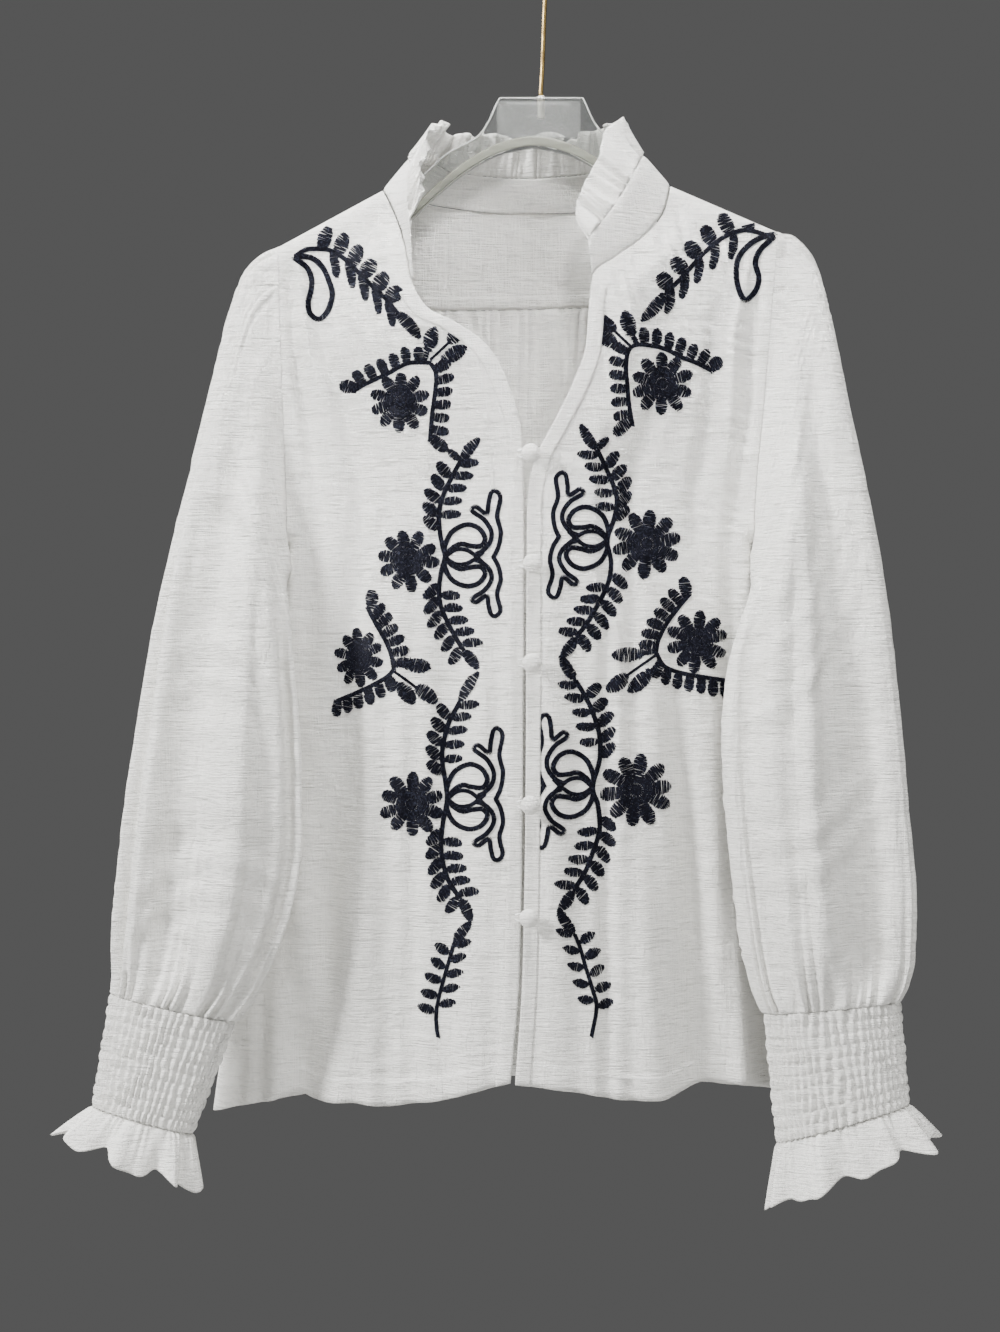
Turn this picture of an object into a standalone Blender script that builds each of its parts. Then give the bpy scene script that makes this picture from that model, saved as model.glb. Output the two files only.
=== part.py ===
"""Embroidered blouse hanging on a clear hanger, as cloth walls cut and sewn like the real one.

Metres, +Z up. The front faces -Y and +X is on the viewer's right, so the wearer's right
side is at -X. The origin is where the hook bears on a rail. Tables are in millimetres.
"""
import math

import bmesh
import bpy
import numpy as np

MM = 0.001

# Driving sizes, in millimetres
CLOTH = 1.4              # wall of the fronts, back, yoke and sleeves
UNDERARM_CLOTH = 1.0     # wall of a sleeve where it turns tightly under the arm
BAND_WALL = 1.8          # doubled cloth of the collar band
RUFFLE_WALL = 1.0
CUFF_WALL = 1.6
SEAM = 0.3               # what two sewn edges stand apart
RIDGE_ROUND = 12.0       # how far from a fold the cloth turns flat
SIDE_DEPTH = 11.0        # front and back from the middle plane, at the sides
BACK_DEPTH = 40.0        # the back from the middle plane, at its middle
BACK_MIDDLE = -11.0      # where the back is deepest, in x
BACK_HALF = 185.0
NECK_BLEND = 60.0        # how far below the neck seam the back reaches its full depth
NECK_CORNER = 45.0       # how far from the neck point it takes to go over to that
SHOULDER_SLANT = 0.9     # distance from a shoulder seam for each millimetre below it
HEM_LIFT = 14.0          # how much higher the back's hem is at its middle
YOKE_HEIGHT_T = 0.10     # where the yoke seam meets the armhole
UNDERARM_T = 0.50        # where the side seam starts
PLACKET_WIDTH = 10.0
PLACKET_WALL = 1.0
BUTTON_RADIUS = 6.8
BUTTON_DEPTH = 8.0
SHANK_RADIUS = 2.0
SHANK_HEIGHT = 2.2
LOOP_RADIUS = 0.7
SMOCK_ROWS = 10
SMOCK_PUFF = 1.6
PLATE_THICKNESS = 9.0
PLATE_CHAMFER = 2.4
ROD_RADIUS = 1.4
HOOK_RADIUS = 19.4       # middle of the wire
COLUMNS_FRONT = 10       # columns between the placket and the rounded side
COLUMNS_SHOULDER = 4     # columns of the back along each shoulder seam
NECK_COLUMNS = (0, 5, 14, 28, 50, 74, 98, 122, 146, 168, 183, 191, 196)
GATHER_COLUMNS = 26      # columns across the back, a ridge or a trough each
CUFF_SIDES = 24
FLATNESS = 0.75          # power that makes a ring round an arm flatter than an ellipse
SLEEVE_GATHER = 1.2      # height of a sleeve's gathers where it meets the cuff
BACK_GATHER = 2.2        # height of the back's gathers at the yoke seam
GATHER_FADE = 60.0       # how far down the back they reach
SLEEVE_BLEND = (0.75, 0.4, 0.15)   # how much of the armhole's shape the next rings keep
HEM_RISE_T = 0.85        # where the hem's own line begins to tell

# Share of the way down a front, from the shoulder seam (0) through the underarm (0.5)
# to the hem (1), for each row of points
ROWS_ARMHOLE = (0.0, 0.006, 0.016, 0.032, 0.065, 0.10, 0.15, 0.20, 0.26, 0.32, 0.38,
                0.43, 0.468, 0.484, 0.494, 0.50)
ROWS_BODY = (0.56, 0.63, 0.70, 0.78, 0.86, 0.93, 1.0)
ROWS = ROWS_ARMHOLE + ROWS_BODY

# Inner edge of each front, from the neck point at the shoulder, down the collar seam
# and then down the opening: share of the way down, x, depth forward, z
RIGHT_INNER = (
    (0.00, -108, 11, -187),
    (0.05, -100, 14, -204),
    (0.10, -92, 26, -228),
    (0.15, -87, 33, -253),
    (0.20, -76, 38, -272),
    (0.25, -56, 41, -283),
    (0.30, -36, 41, -298),
    (0.35, -22, 39, -324),
    (0.40, -14, 36, -353),
    (0.45, -12, 34, -383),
    (0.50, -12, 34, -413),
    (0.75, -13, 34, -600),
    (0.90, -15, 36, -712),
    (1.00, -21, 37, -787),
)
LEFT_INNER = (
    (0.00, 88, 11, -184),
    (0.05, 83, 14, -203),
    (0.10, 69, 25, -222),
    (0.15, 50, 33, -237),
    (0.20, 34, 38, -250),
    (0.25, 31, 39, -271),
    (0.30, 29, 39, -297),
    (0.35, 20, 38, -323),
    (0.40, 7, 36, -349),
    (0.45, -6, 34, -376),
    (0.50, -10, 34, -406),
    (0.75, -11, 34, -597),
    (0.90, -13, 36, -712),
    (1.00, -18, 38, -788),
)
# Outer edge of each front: share of the way down, x, depth back, z. The armhole comes
# first, from the shoulder's tip to the underarm, then the side seam down to the hem.
RIGHT_SIDE = (
    (0.00, -178, 0, -225),
    (0.25, -173, 0, -326),
    (0.50, -167, 0, -428),
    (0.60, -176, 4, -499),
    (0.70, -189, 9, -576),
    (0.80, -201, 15, -654),
    (0.90, -214, 20, -733),
    (1.00, -226, 25, -816),
)
LEFT_SIDE = (
    (0.00, 160, 0, -215),
    (0.25, 149, 0, -322),
    (0.50, 139, 0, -428),
    (0.60, 146, 4, -499),
    (0.70, 156, 9, -576),
    (0.80, 166, 15, -653),
    (0.90, 177, 20, -731),
    (1.00, 192, 25, -806),
)
# Back neck seam from the right neck point to the left one: x, depth back, z
BACK_NECK = (
    (-108, 0, -187),
    (-98, 17, -188),
    (-81, 30, -190),
    (-52, 38, -193),
    (-24, 42, -195),
    (21, 38, -195),
    (55, 28, -191),
    (76, 15, -187),
    (88, 0, -184),
)
# Collar from its right front end, round the back, to its left front end: how far along,
# then x, depth back, z of the band's top edge and of the ruffle's free edge
COLLAR = (
    (0.00, -88, -37, -215, -82, -33, -196),
    (0.08, -90, -26, -193, -80, -20, -171),
    (0.17, -89, 0, -165, -72, 0, -141),
    (0.23, -84, 12, -165, -67, 8, -141),
    (0.29, -73, 22, -167, -60, 15, -144),
    (0.38, -48, 29, -170, -41, 21, -146),
    (0.48, -15, 32, -172, -13, 24, -148),
    (0.60, 20, 29, -171, 19, 22, -146),
    (0.70, 46, 22, -168, 38, 16, -143),
    (0.77, 63, 9, -165, 50, 5, -141),
    (0.83, 69, -4, -164, 54, -8, -139),
    (0.91, 54, -32, -194, 32, -32, -180),
    (1.00, 30, -42, -228, 20, -40, -212),
)
COLLAR_BACK = (0.17, 0.83)   # the share along where the collar passes each shoulder seam
# Sleeves from the armhole to the cuff: x, depth, z of the upper outer edge, then of the
# lower inner edge, and half the depth between the two walls
RIGHT_SLEEVE = (
    (-178, 0, -225, -167, 0, -428, 11),
    (-188, 0, -229, -169, -3, -431, 12),
    (-201, -1, -241, -170.5, -7, -436, 14),
    (-211, -3, -267, -171.5, -12, -444, 16),
    (-222, -7, -312, -171.5, -18, -456, 18),
    (-238, -14, -388, -167, -27, -484, 20),
    (-253, -23, -460, -163, -33, -524, 21),
    (-266, -30, -536, -160, -37, -575, 22),
    (-276, -35, -603, -160, -39, -625, 22),
    (-282, -37, -660, -166, -40, -666, 21),
    (-284, -38, -694, -176, -41, -697, 19),
    (-284, -39, -714, -190, -41, -727, 17),
    (-285, -40, -727, -204, -41, -745, 15),
)
LEFT_SLEEVE = (
    (160, 0, -215, 139, 0, -428, 11),
    (169, 0, -216, 141, -3, -431, 12),
    (180, -1, -225, 142.5, -7, -436, 14),
    (188, -3, -240, 143, -12, -444, 16),
    (196, -7, -272, 141, -18, -456, 18),
    (208, -14, -340, 134, -27, -478, 20),
    (221, -23, -420, 125, -33, -516, 21),
    (232, -30, -505, 122, -37, -565, 22),
    (240, -35, -592, 125, -39, -615, 22),
    (245, -37, -660, 131, -40, -668, 21),
    (245, -38, -701, 136, -41, -702, 19),
    (242, -39, -720, 142, -41, -727, 17),
    (236, -40, -732, 148, -41, -740, 15),
)
# Cuffs: the foot's outer and inner corner as x, z, half the depth, ruffle height and how
# much wider the ruffle's edge is than its root
RIGHT_CUFF = dict(outer=(-297, -801), inner=(-232, -819), half=13, ruffle=27, flare=1.42,
                  phase=0.4)
LEFT_CUFF = dict(outer=(242, -800), inner=(156, -825), half=13, ruffle=32, flare=1.28,
                 phase=2.1)
CUFF_DEPTH = -41
CUFF_WAVES = 9
RUFFLE_SLANT = 6.0       # how much more a cuff's ruffle hangs on the side near the body
COLLAR_WAVES = 22
WAVE_POINTS = 4
RUFFLE_WAVE = 2.9        # half the height of a collar ruffle's wave

# Hems of the fronts: share across from the opening, and how much higher than straight
RIGHT_HEM = ((0.0, 0), (0.12, -3), (0.26, -7), (0.38, -7), (0.53, -1), (0.65, 2),
             (0.71, 8), (0.80, 5), (0.90, 3), (1.0, 0))
LEFT_HEM = ((0.0, 0), (0.19, -2), (0.35, -5.5), (0.46, -4.5), (0.54, 1), (0.62, 8),
            (0.74, 9), (0.85, 6), (1.0, 0))

# Soft folds: share across at the top and at the hem, share down where it starts and
# where it is full, half width across, height out of the cloth in mm
RIGHT_FOLDS = (
    (0.80, 0.66, 0.45, 0.95, 0.055, -8),
    (0.90, 0.78, 0.50, 0.95, 0.050, 5),
    (0.66, 0.55, 0.45, 0.95, 0.060, 6),
    (0.35, 0.30, 0.30, 0.90, 0.130, -4),
    (0.20, 0.25, 0.03, 0.15, 0.060, -1.6),
    (0.45, 0.45, 0.03, 0.15, 0.060, 1.8),
    (0.70, 0.66, 0.04, 0.20, 0.070, -1.5),
)
LEFT_FOLDS = (
    (0.70, 0.60, 0.40, 0.95, 0.060, -9),
    (0.88, 0.76, 0.50, 0.95, 0.060, 6),
    (0.48, 0.44, 0.40, 0.95, 0.090, 6),
    (0.22, 0.24, 0.50, 0.90, 0.080, -3),
    (0.20, 0.25, 0.03, 0.15, 0.060, 1.6),
    (0.42, 0.45, 0.03, 0.15, 0.060, -1.8),
    (0.66, 0.66, 0.04, 0.20, 0.070, 1.5),
)
# Sleeve folds: share round from the upper edge down the front (0 to 1) and back up
# (1 to 2), share along where it starts, where it ends, half width, height in mm
RIGHT_SLEEVE_FOLDS = (
    (0.42, 0.20, 0.99, 0.10, -7),
    (0.62, 0.20, 0.99, 0.10, 5),
    (0.80, 0.30, 0.97, 0.09, -5),
    (1.35, 0.25, 0.99, 0.12, -5),
    (1.65, 0.20, 0.99, 0.12, 4),
)
LEFT_SLEEVE_FOLDS = (
    (0.36, 0.20, 0.99, 0.10, -8),
    (0.56, 0.20, 0.99, 0.10, 4),
    (0.76, 0.30, 0.99, 0.09, -5),
    (1.30, 0.25, 0.99, 0.12, -5),
    (1.62, 0.20, 0.99, 0.12, 4),
)
# Buttons from the top: x and z
BUTTONS = ((-7.5, -369), (-6.5, -442), (-7.0, -508), (-8.0, -602), (-9.0, -677))

# Hanger plate, from its top edge down to an arm and back along the arch, in x and z
PLATE_TOP_HALF = 29.0
PLATE_TOP_Z = -124.0
PLATE_SHOULDER = ((31, -128), (37, -141), (45, -151))
PLATE_SLOPE = ((0.60, -162), (0.76, -178), (0.90, -193))   # x over the neck point's x
PLATE_ARCH = ((84, -208), (66, -191), (46, -175), (24, -163), (0, -158))
ARCH_SHIFT = -5.0        # the arch's middle, to the right side of the rod
ARM_DROP = 2.5           # top of an arm below the shoulder fold, across the slope
ARM_WIDTH = 27.0
ARM_START = 13.0         # start of an arm's straight edge, out from the neck point
ARM_END = 150.0
FERRULE_RADIUS = 2.6
FERRULE_LENGTH = 14.0
ROD_LEAN = 2.6           # how far the rod leans to +X below the hook
ROD_BASE = 1.5           # how far the ferrule stands out of the plate
HOOK_TURN = 262          # degrees of the hook's bend
HOOK_START = -62         # degrees, where the bend begins
HOOK_STEPS = 16

WHITE_CLOTH = (0.86, 0.86, 0.84, 1.0)


def smooth(rows, at, column):
    """A smooth value between a table's rows, whose first column is the key."""
    keys = np.array([row[0] for row in rows], float)
    values = np.array([row[column] for row in rows], float)
    steps = np.diff(values) / np.diff(keys)
    inner = [0.0 if a * b <= 0 else 2 * a * b / (a + b) for a, b in zip(steps, steps[1:])]
    slopes = np.array([steps[0]] + inner + [steps[-1]])
    at = np.clip(at, keys[0], keys[-1])
    i = np.clip(np.searchsorted(keys, at) - 1, 0, len(keys) - 2)
    span = keys[i + 1] - keys[i]
    s = (at - keys[i]) / span
    start = (1 + 2 * s) * (1 - s) ** 2 * values[i] + s * (1 - s) ** 2 * span * slopes[i]
    end = s * s * (3 - 2 * s) * values[i + 1] + s * s * (s - 1) * span * slopes[i + 1]
    return start + end


def ease(x):
    x = np.clip(x, 0.0, 1.0)
    return x * x * (3 - 2 * x)


def rounding(distance, reach=RIDGE_ROUND):
    """How much of its depth the cloth has at a distance from a closed fold."""
    away = 1 - np.clip(distance / reach, 0.0, 1.0)
    return np.sqrt(1 - away * away)


def unit(vectors):
    length = np.linalg.norm(vectors, axis=-1, keepdims=True)
    return vectors / np.maximum(length, 1e-9)


def material(name, colour, roughness, metallic=0.0):
    mat = bpy.data.materials.get(name)
    if mat is None:
        mat = bpy.data.materials.new(name)
        mat.use_nodes = True
        shader = mat.node_tree.nodes["Principled BSDF"]
        shader.inputs["Base Color"].default_value = colour
        shader.inputs["Roughness"].default_value = roughness
        shader.inputs["Metallic"].default_value = metallic
        mat.diffuse_color = colour
    return mat


def cloth_material():
    return material("white_crepe", WHITE_CLOTH, 0.85)


def add_object(name, bm, mat):
    """Puts a bmesh, in millimetres, into the scene as one object in metres."""
    bmesh.ops.recalc_face_normals(bm, faces=bm.faces)
    bmesh.ops.scale(bm, vec=(MM, MM, MM), verts=bm.verts)
    mesh = bpy.data.meshes.new(name)
    bm.to_mesh(mesh)
    bm.free()
    mesh.materials.append(mat)
    mesh.shade_smooth()
    obj = bpy.data.objects.new(name, mesh)
    bpy.context.collection.objects.link(obj)
    return obj


def grid_normals(grid, closed):
    if closed:
        across = np.roll(grid, -1, 1) - np.roll(grid, 1, 1)
    else:
        across = np.gradient(grid, axis=1)
    return unit(np.cross(across, np.gradient(grid, axis=0)))


def wall(name, grid, thickness, mat, closed=False, normals=None, inner=None):
    """A closed cloth wall from a grid of outer points, rows down and columns across."""
    grid = np.asarray(grid, float)
    if inner is None:
        if normals is None:
            normals = grid_normals(grid, closed)
        inner = grid - normals * thickness
    bm = bmesh.new()
    skins = [[[bm.verts.new(p) for p in row] for row in skin] for skin in (grid, inner)]
    columns = grid.shape[1]
    steps = range(columns if closed else columns - 1)
    for skin in skins:
        for upper, lower in zip(skin, skin[1:]):
            for j in steps:
                k = (j + 1) % columns
                for corners in ((upper[j], lower[j], lower[k]), (upper[j], lower[k], upper[k])):
                    bm.faces.new(corners if skin is skins[0] else corners[::-1])
    for end in (0, -1):
        for j in steps:
            k = (j + 1) % columns
            corners = [skins[0][end][j], skins[0][end][k],
                       skins[1][end][k], skins[1][end][j]]
            bm.faces.new(corners if end == 0 else corners[::-1])
    if not closed:
        for side in (0, -1):
            outer_edge = [row[side] for row in skins[0]]
            inner_edge = [row[side] for row in skins[1]]
            for i in range(len(outer_edge) - 1):
                corners = [outer_edge[i], inner_edge[i],
                           inner_edge[i + 1], outer_edge[i + 1]]
                bm.faces.new(corners if side == 0 else corners[::-1])
    return add_object(name, bm, mat)


class Side:
    """One half of the body: its tables and its sign along X."""

    def __init__(self, name, sign, inner, side, sleeve, cuff, hem, folds, sleeve_folds):
        self.name = name
        self.sign = sign
        self.inner = inner
        self.side = side
        self.sleeve = sleeve
        self.cuff = cuff
        self.hem = hem
        self.folds = folds
        self.sleeve_folds = sleeve_folds
        self.neck = np.array((inner[0][1], inner[0][3]), float)
        self.tip = np.array((side[0][1], side[0][3]), float)
        self.underarm = np.array([smooth(side, UNDERARM_T, c) for c in (1, 3)])

    def shoulder_distance(self, x, z):
        """How far a point is below the shoulder seam."""
        along = self.tip - self.neck
        along = along / np.linalg.norm(along)
        return abs(along[0] * (z - self.neck[1]) - along[1] * (x - self.neck[0]))

    def side_distance(self, t, x, z):
        """How far a point is from the closed side seam or from the underarm."""
        if t >= UNDERARM_T:
            return abs(smooth(self.side, t, 1) - x)
        return math.hypot(x - self.underarm[0], z - self.underarm[1])

    def fold_height(self, folds, f, t):
        height = 0.0
        for top, foot, start, full, half, out in folds:
            centre = top + (foot - top) * t
            rise = ease((t - start) / (full - start))
            height += out * rise * math.exp(-((f - centre) / half) ** 2)
        return height

    def front_point(self, f, t):
        """A point on the front's outer face: f across from the opening, t down."""
        xi, di, zi = (smooth(self.inner, t, c) for c in (1, 2, 3))
        xs, ys, zs = (smooth(self.side, t, c) for c in (1, 2, 3))
        x = xi + (xs - xi) * f
        z = zi + (zs - zi) * f
        depth = di + (SIDE_DEPTH - di) * ease(f)
        depth += self.fold_height(self.folds, f, t)
        near = min(self.shoulder_distance(x, z), self.side_distance(t, x, z))
        y = ys * f * f - depth * rounding(near) - SEAM / 2
        z += smooth(self.hem, f, 1) * ease((t - HEM_RISE_T) / (1 - HEM_RISE_T))
        return np.array((x, y, z))

    def back_edge_point(self, t):
        """A point on the back's outer face at the armhole or the side seam."""
        xs, ys, zs = (smooth(self.side, t, c) for c in (1, 2, 3))
        near = min(self.shoulder_distance(xs, zs), self.side_distance(t, xs, zs))
        return np.array((xs, ys + SIDE_DEPTH * rounding(near) + SEAM / 2, zs))

    def armhole(self):
        """The armhole loop from the shoulder's tip down the front and up the back."""
        front = [self.front_point(1.0, t) for t in ROWS_ARMHOLE]
        back = [self.back_edge_point(t) for t in ROWS_ARMHOLE]
        return np.array(front), np.array(back)

    def armhole_normals(self):
        """Outward directions at the armhole, in its own plane, front then back."""
        front, back = self.armhole()
        result = []
        for edge, facing in ((front, -1), (back, 1)):
            along = np.gradient(edge, axis=0)
            normal = np.stack([0 * along[:, 0], -along[:, 2], along[:, 1]], axis=1)
            normal = unit(normal) * facing * -1
            normal *= np.sign(normal[:, 1:2] * facing + 1e-9)
            normal[0] = (0, 0, 1)
            normal[-1] = (0, 0, -1)
            result.append(normal)
        return result


RIGHT = Side("right", -1, RIGHT_INNER, RIGHT_SIDE, RIGHT_SLEEVE, RIGHT_CUFF,
             RIGHT_HEM, RIGHT_FOLDS, RIGHT_SLEEVE_FOLDS)
LEFT = Side("left", 1, LEFT_INNER, LEFT_SIDE, LEFT_SLEEVE, LEFT_CUFF,
            LEFT_HEM, LEFT_FOLDS, LEFT_SLEEVE_FOLDS)
COLLAR_END_T = {"right": 0.15, "left": 0.20}


def shoulder_normal(side):
    """Straight out of the folded shoulder seam."""
    run, drop = abs(side.tip - side.neck)
    return unit(np.array((side.sign * drop, 0.0, run)))


def front_columns(side, t):
    """Shares across a front, closer together where the cloth turns at the side."""
    width = abs(smooth(side.side, t, 1) - smooth(side.inner, t, 1))
    near = 1 - np.array((RIDGE_ROUND, 6.0, 2.0, 0.0)) / width
    placket = PLACKET_WIDTH / width
    inner = np.linspace(placket, near[0], COLUMNS_FRONT)
    return np.concatenate([[0.0], inner, near[1:]])


def front_grid(side):
    return np.array([[side.front_point(f, t) for f in front_columns(side, t)]
                     for t in ROWS])


def front_normals(side, grid):
    normals = grid_normals(grid, False)
    normals *= -np.sign(normals[len(ROWS) // 2, 5, 1])
    normals[0] = shoulder_normal(side)
    armhole = len(ROWS_ARMHOLE)
    normals[:armhole - 1, -1] = side.armhole_normals()[0][:-1]
    normals[armhole - 1:, -1] = (side.sign, 0.0, 0.0)
    return normals


def build_front(side):
    grid = front_grid(side)
    wall(side.name + "_front", grid, CLOTH, cloth_material(),
         normals=front_normals(side, grid))


def build_placket(side):
    """The turned band on a front's edge, lying on the front's outer face."""
    rows = [t for t in ROWS if t > COLLAR_END_T[side.name]]
    rows = [COLLAR_END_T[side.name] + 0.012] + rows
    face = []
    for t in rows:
        width = abs(smooth(side.side, t, 1) - smooth(side.inner, t, 1))
        shares = (0.0, 0.5 * PLACKET_WIDTH / width, PLACKET_WIDTH / width)
        face.append([side.front_point(f, t) for f in shares])
    face = np.array(face)
    normals = grid_normals(face, False)
    normals *= -np.sign(normals[-3, 1, 1])
    outer = face + normals * (SEAM + PLACKET_WALL)
    wall(side.name + "_placket", outer, PLACKET_WALL, cloth_material(), normals=normals)


def back_depth(x, z):
    """Depth of the back behind the middle plane, before its folded edges."""
    bow = 1 - min(abs((x - BACK_MIDDLE) / BACK_HALF), 1.0) ** 2
    return SIDE_DEPTH + (BACK_DEPTH - SIDE_DEPTH) * bow


def back_top(x):
    """The back's top edge at x: the two shoulder seams and the neck seam between."""
    for side in (RIGHT, LEFT):
        if side.sign * (x - side.neck[0]) >= 0:
            share = (x - side.neck[0]) / (side.tip[0] - side.neck[0])
            return SEAM / 2, side.neck[1] + share * (side.tip[1] - side.neck[1])
    return smooth(BACK_NECK, x, 1) + SEAM / 2, smooth(BACK_NECK, x, 2)


def back_gathers(column, below):
    """Small gathers that hang from the yoke seam and die out below it."""
    return BACK_GATHER * (-1) ** column * math.exp(-below / GATHER_FADE)


def back_point(share, t):
    """A point on the back: share across from the right side to the left one."""
    right, left = ([smooth(s.side, t, c) for c in (1, 2, 3)] for s in (RIGHT, LEFT))
    x = right[0] * (1 - share) + left[0] * share
    side_z = right[2] * (1 - share) + left[2] * share
    top_x = RIGHT.tip[0] * (1 - share) + LEFT.tip[0] * share
    top_y, top_z = back_top(top_x)
    rise = top_z - (RIGHT.tip[1] * (1 - share) + LEFT.tip[1] * share)
    z = side_z + rise * ease(1 - t / YOKE_HEIGHT_T)
    z += ease((t - 0.8) / 0.2) * HEM_LIFT * math.sin(math.pi * share)
    sag = (1 - share) ** 2 * right[1] + share ** 2 * left[1]
    near = min(RIGHT.side_distance(t, x, side_z), LEFT.side_distance(t, x, side_z))
    into_neck = min(top_x - RIGHT.neck[0], LEFT.neck[0] - top_x)
    reach = RIDGE_ROUND + (NECK_BLEND - RIDGE_ROUND) * ease(into_neck / NECK_CORNER)
    y = back_depth(x, z) * rounding(near)
    y = top_y + (y - top_y) * rounding((top_z - z) * SHOULDER_SLANT, reach)
    return np.array((x, sag + y + SEAM / 2, z))


def side_shares():
    return np.array((0.0, 2.0, 6.0, RIDGE_ROUND)) / (LEFT.tip[0] - RIGHT.tip[0])


def gathered_shares():
    """Shares across the gathered back, even between the rounded sides."""
    near = side_shares()
    middle = np.linspace(near[-1], 1 - near[-1], GATHER_COLUMNS + 1)
    return np.concatenate([near[:-1], middle, 1 - near[:-1][::-1]])


def yoke_shares():
    """Shares across the yoke, closer together at the sides and at the neck's corners."""
    width = LEFT.tip[0] - RIGHT.tip[0]
    near = side_shares()
    neck = (np.array(NECK_COLUMNS, float) + RIGHT.neck[0] - RIGHT.tip[0]) / width
    right = np.linspace(near[-1], neck[0], COLUMNS_SHOULDER + 1)[1:-1]
    left = np.linspace(neck[-1], 1 - near[-1], COLUMNS_SHOULDER + 1)[1:-1]
    return np.concatenate([near, right, neck, left, 1 - near[::-1]])


def back_grid(rows, shares):
    grid = np.array([[back_point(s, t) for s in shares] for t in rows])
    for i, t in enumerate(rows):
        grid[i, 0] = RIGHT.back_edge_point(t)
        grid[i, -1] = LEFT.back_edge_point(t)
    return grid


def back_normals(grid, rows):
    normals = grid_normals(grid, False)
    normals *= np.sign(normals[len(rows) // 2, 10, 1])
    for side, column in ((RIGHT, 0), (LEFT, -1)):
        armhole = side.armhole_normals()[1]
        for i, t in enumerate(rows):
            if t < UNDERARM_T:
                normals[i, column] = armhole[ROWS_ARMHOLE.index(t)]
            else:
                normals[i, column] = (side.sign, 0.0, 0.0)
    return normals


YOKE_ROWS = ROWS[:ROWS.index(YOKE_HEIGHT_T) + 1]
BACK_ROWS = ROWS[ROWS.index(YOKE_HEIGHT_T):]
FIRST_NECK_COLUMN = 3 + COLUMNS_SHOULDER
LAST_NECK_COLUMN = FIRST_NECK_COLUMN + len(NECK_COLUMNS) - 1


def yoke_walls():
    """The yoke's outer points and their outward directions."""
    yoke = back_grid(YOKE_ROWS, yoke_shares())
    normals = back_normals(yoke, YOKE_ROWS)
    normals[0, :FIRST_NECK_COLUMN + 1] = shoulder_normal(RIGHT)
    normals[0, LAST_NECK_COLUMN:] = shoulder_normal(LEFT)
    return yoke, normals


def build_back():
    """The yoke over the shoulders and the gathered back below its seam."""
    yoke, normals = yoke_walls()
    wall("back_yoke", yoke, CLOTH, cloth_material(), normals=normals)
    body = back_grid(BACK_ROWS, gathered_shares())
    normals = back_normals(body, BACK_ROWS)
    first, last = 4, body.shape[1] - 4
    for i in range(1, len(BACK_ROWS)):
        for j in range(first, last):
            below = body[0, j, 2] - body[i, j, 2]
            body[i, j, 1] += back_gathers(j, below) * ease(below / 8.0)
    body[0, :, 2] -= SEAM
    wall("back", body, CLOTH, cloth_material(), normals=normals)


def build_sleeve(side):
    """A set-in sleeve, full below, from the armhole to the smocked cuff."""
    count = len(ROWS_ARMHOLE) - 1
    front, back = side.armhole()
    loop = np.concatenate([front[:-1], back[::-1][:-1]])
    loop[0, 1] = 0.0
    loop[count, 1] = 0.0
    loop[:, 0] += side.sign * SEAM
    start_normals = side.armhole_normals()
    start_normals = np.concatenate([start_normals[0][:-1], start_normals[1][::-1][:-1]])
    rings = [loop]
    last = len(side.sleeve) - 1
    for k, row in enumerate(side.sleeve[1:], start=1):
        upper, lower, half = np.array(row[0:3]), np.array(row[3:6]), row[6]
        ring = []
        for i in range(2 * count):
            turn = math.pi * i / count
            share = (1 - math.cos(turn)) / 2
            out = math.copysign(abs(math.sin(turn)) ** FLATNESS, math.sin(turn))
            round_share = i / count
            height = 0.0
            for centre, begin, end, width, depth in side.sleeve_folds:
                along = k / last
                rise = ease((along - begin) / 0.25) * ease((end - along) / 0.18)
                height += depth * rise * math.exp(-((round_share - centre) / width) ** 2)
            if k >= last - 1:
                height += SLEEVE_GATHER * (-1) ** i * (k - last + 2) / 2
            point = upper + (lower - upper) * share
            point = point + np.array((0, -1.0, 0)) * out * (half + height)
            ring.append(point)
        ring = np.array(ring)
        if k <= len(SLEEVE_BLEND):
            blend = SLEEVE_BLEND[k - 1]
            fall = (loop[:, 2:3] - loop[0, 2]) / (loop[count, 2] - loop[0, 2])
            shaped = upper + (lower - upper) * fall
            shaped[:, 1] += loop[:, 1]
            ring = ring * (1 - blend) + shaped * blend
        rings.append(ring)
    grid = np.array(rings)
    normals = grid_normals(grid, True)
    normals *= -np.sign(normals[6, count // 2, 1])
    normals[0] = start_normals
    axis = cuff_axis(side)
    normals[-1] = unit(normals[-1] - axis * (normals[-1] @ axis)[:, None])
    thickness = np.full((len(grid), 2 * count, 1), CLOTH)
    thickness[1:6, count - 2:count + 3] = UNDERARM_CLOTH
    wall(side.name + "_sleeve", grid, thickness, cloth_material(), closed=True,
         normals=normals)


def cuff_corners(side):
    """Outer and inner corners of a cuff's top and foot."""
    row = side.sleeve[-1]
    top_outer, top_inner = np.array(row[0:3], float), np.array(row[3:6], float)
    foot_outer = np.array((side.cuff["outer"][0], CUFF_DEPTH, side.cuff["outer"][1]), float)
    foot_inner = np.array((side.cuff["inner"][0], CUFF_DEPTH, side.cuff["inner"][1]), float)
    return top_outer, top_inner, foot_outer, foot_inner


def cuff_axis(side):
    top_outer, top_inner, _, _ = cuff_corners(side)
    across = top_inner - top_outer
    down = np.cross(across, (0.0, 1.0, 0.0))
    return unit(down * -np.sign(down[2]))


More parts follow.
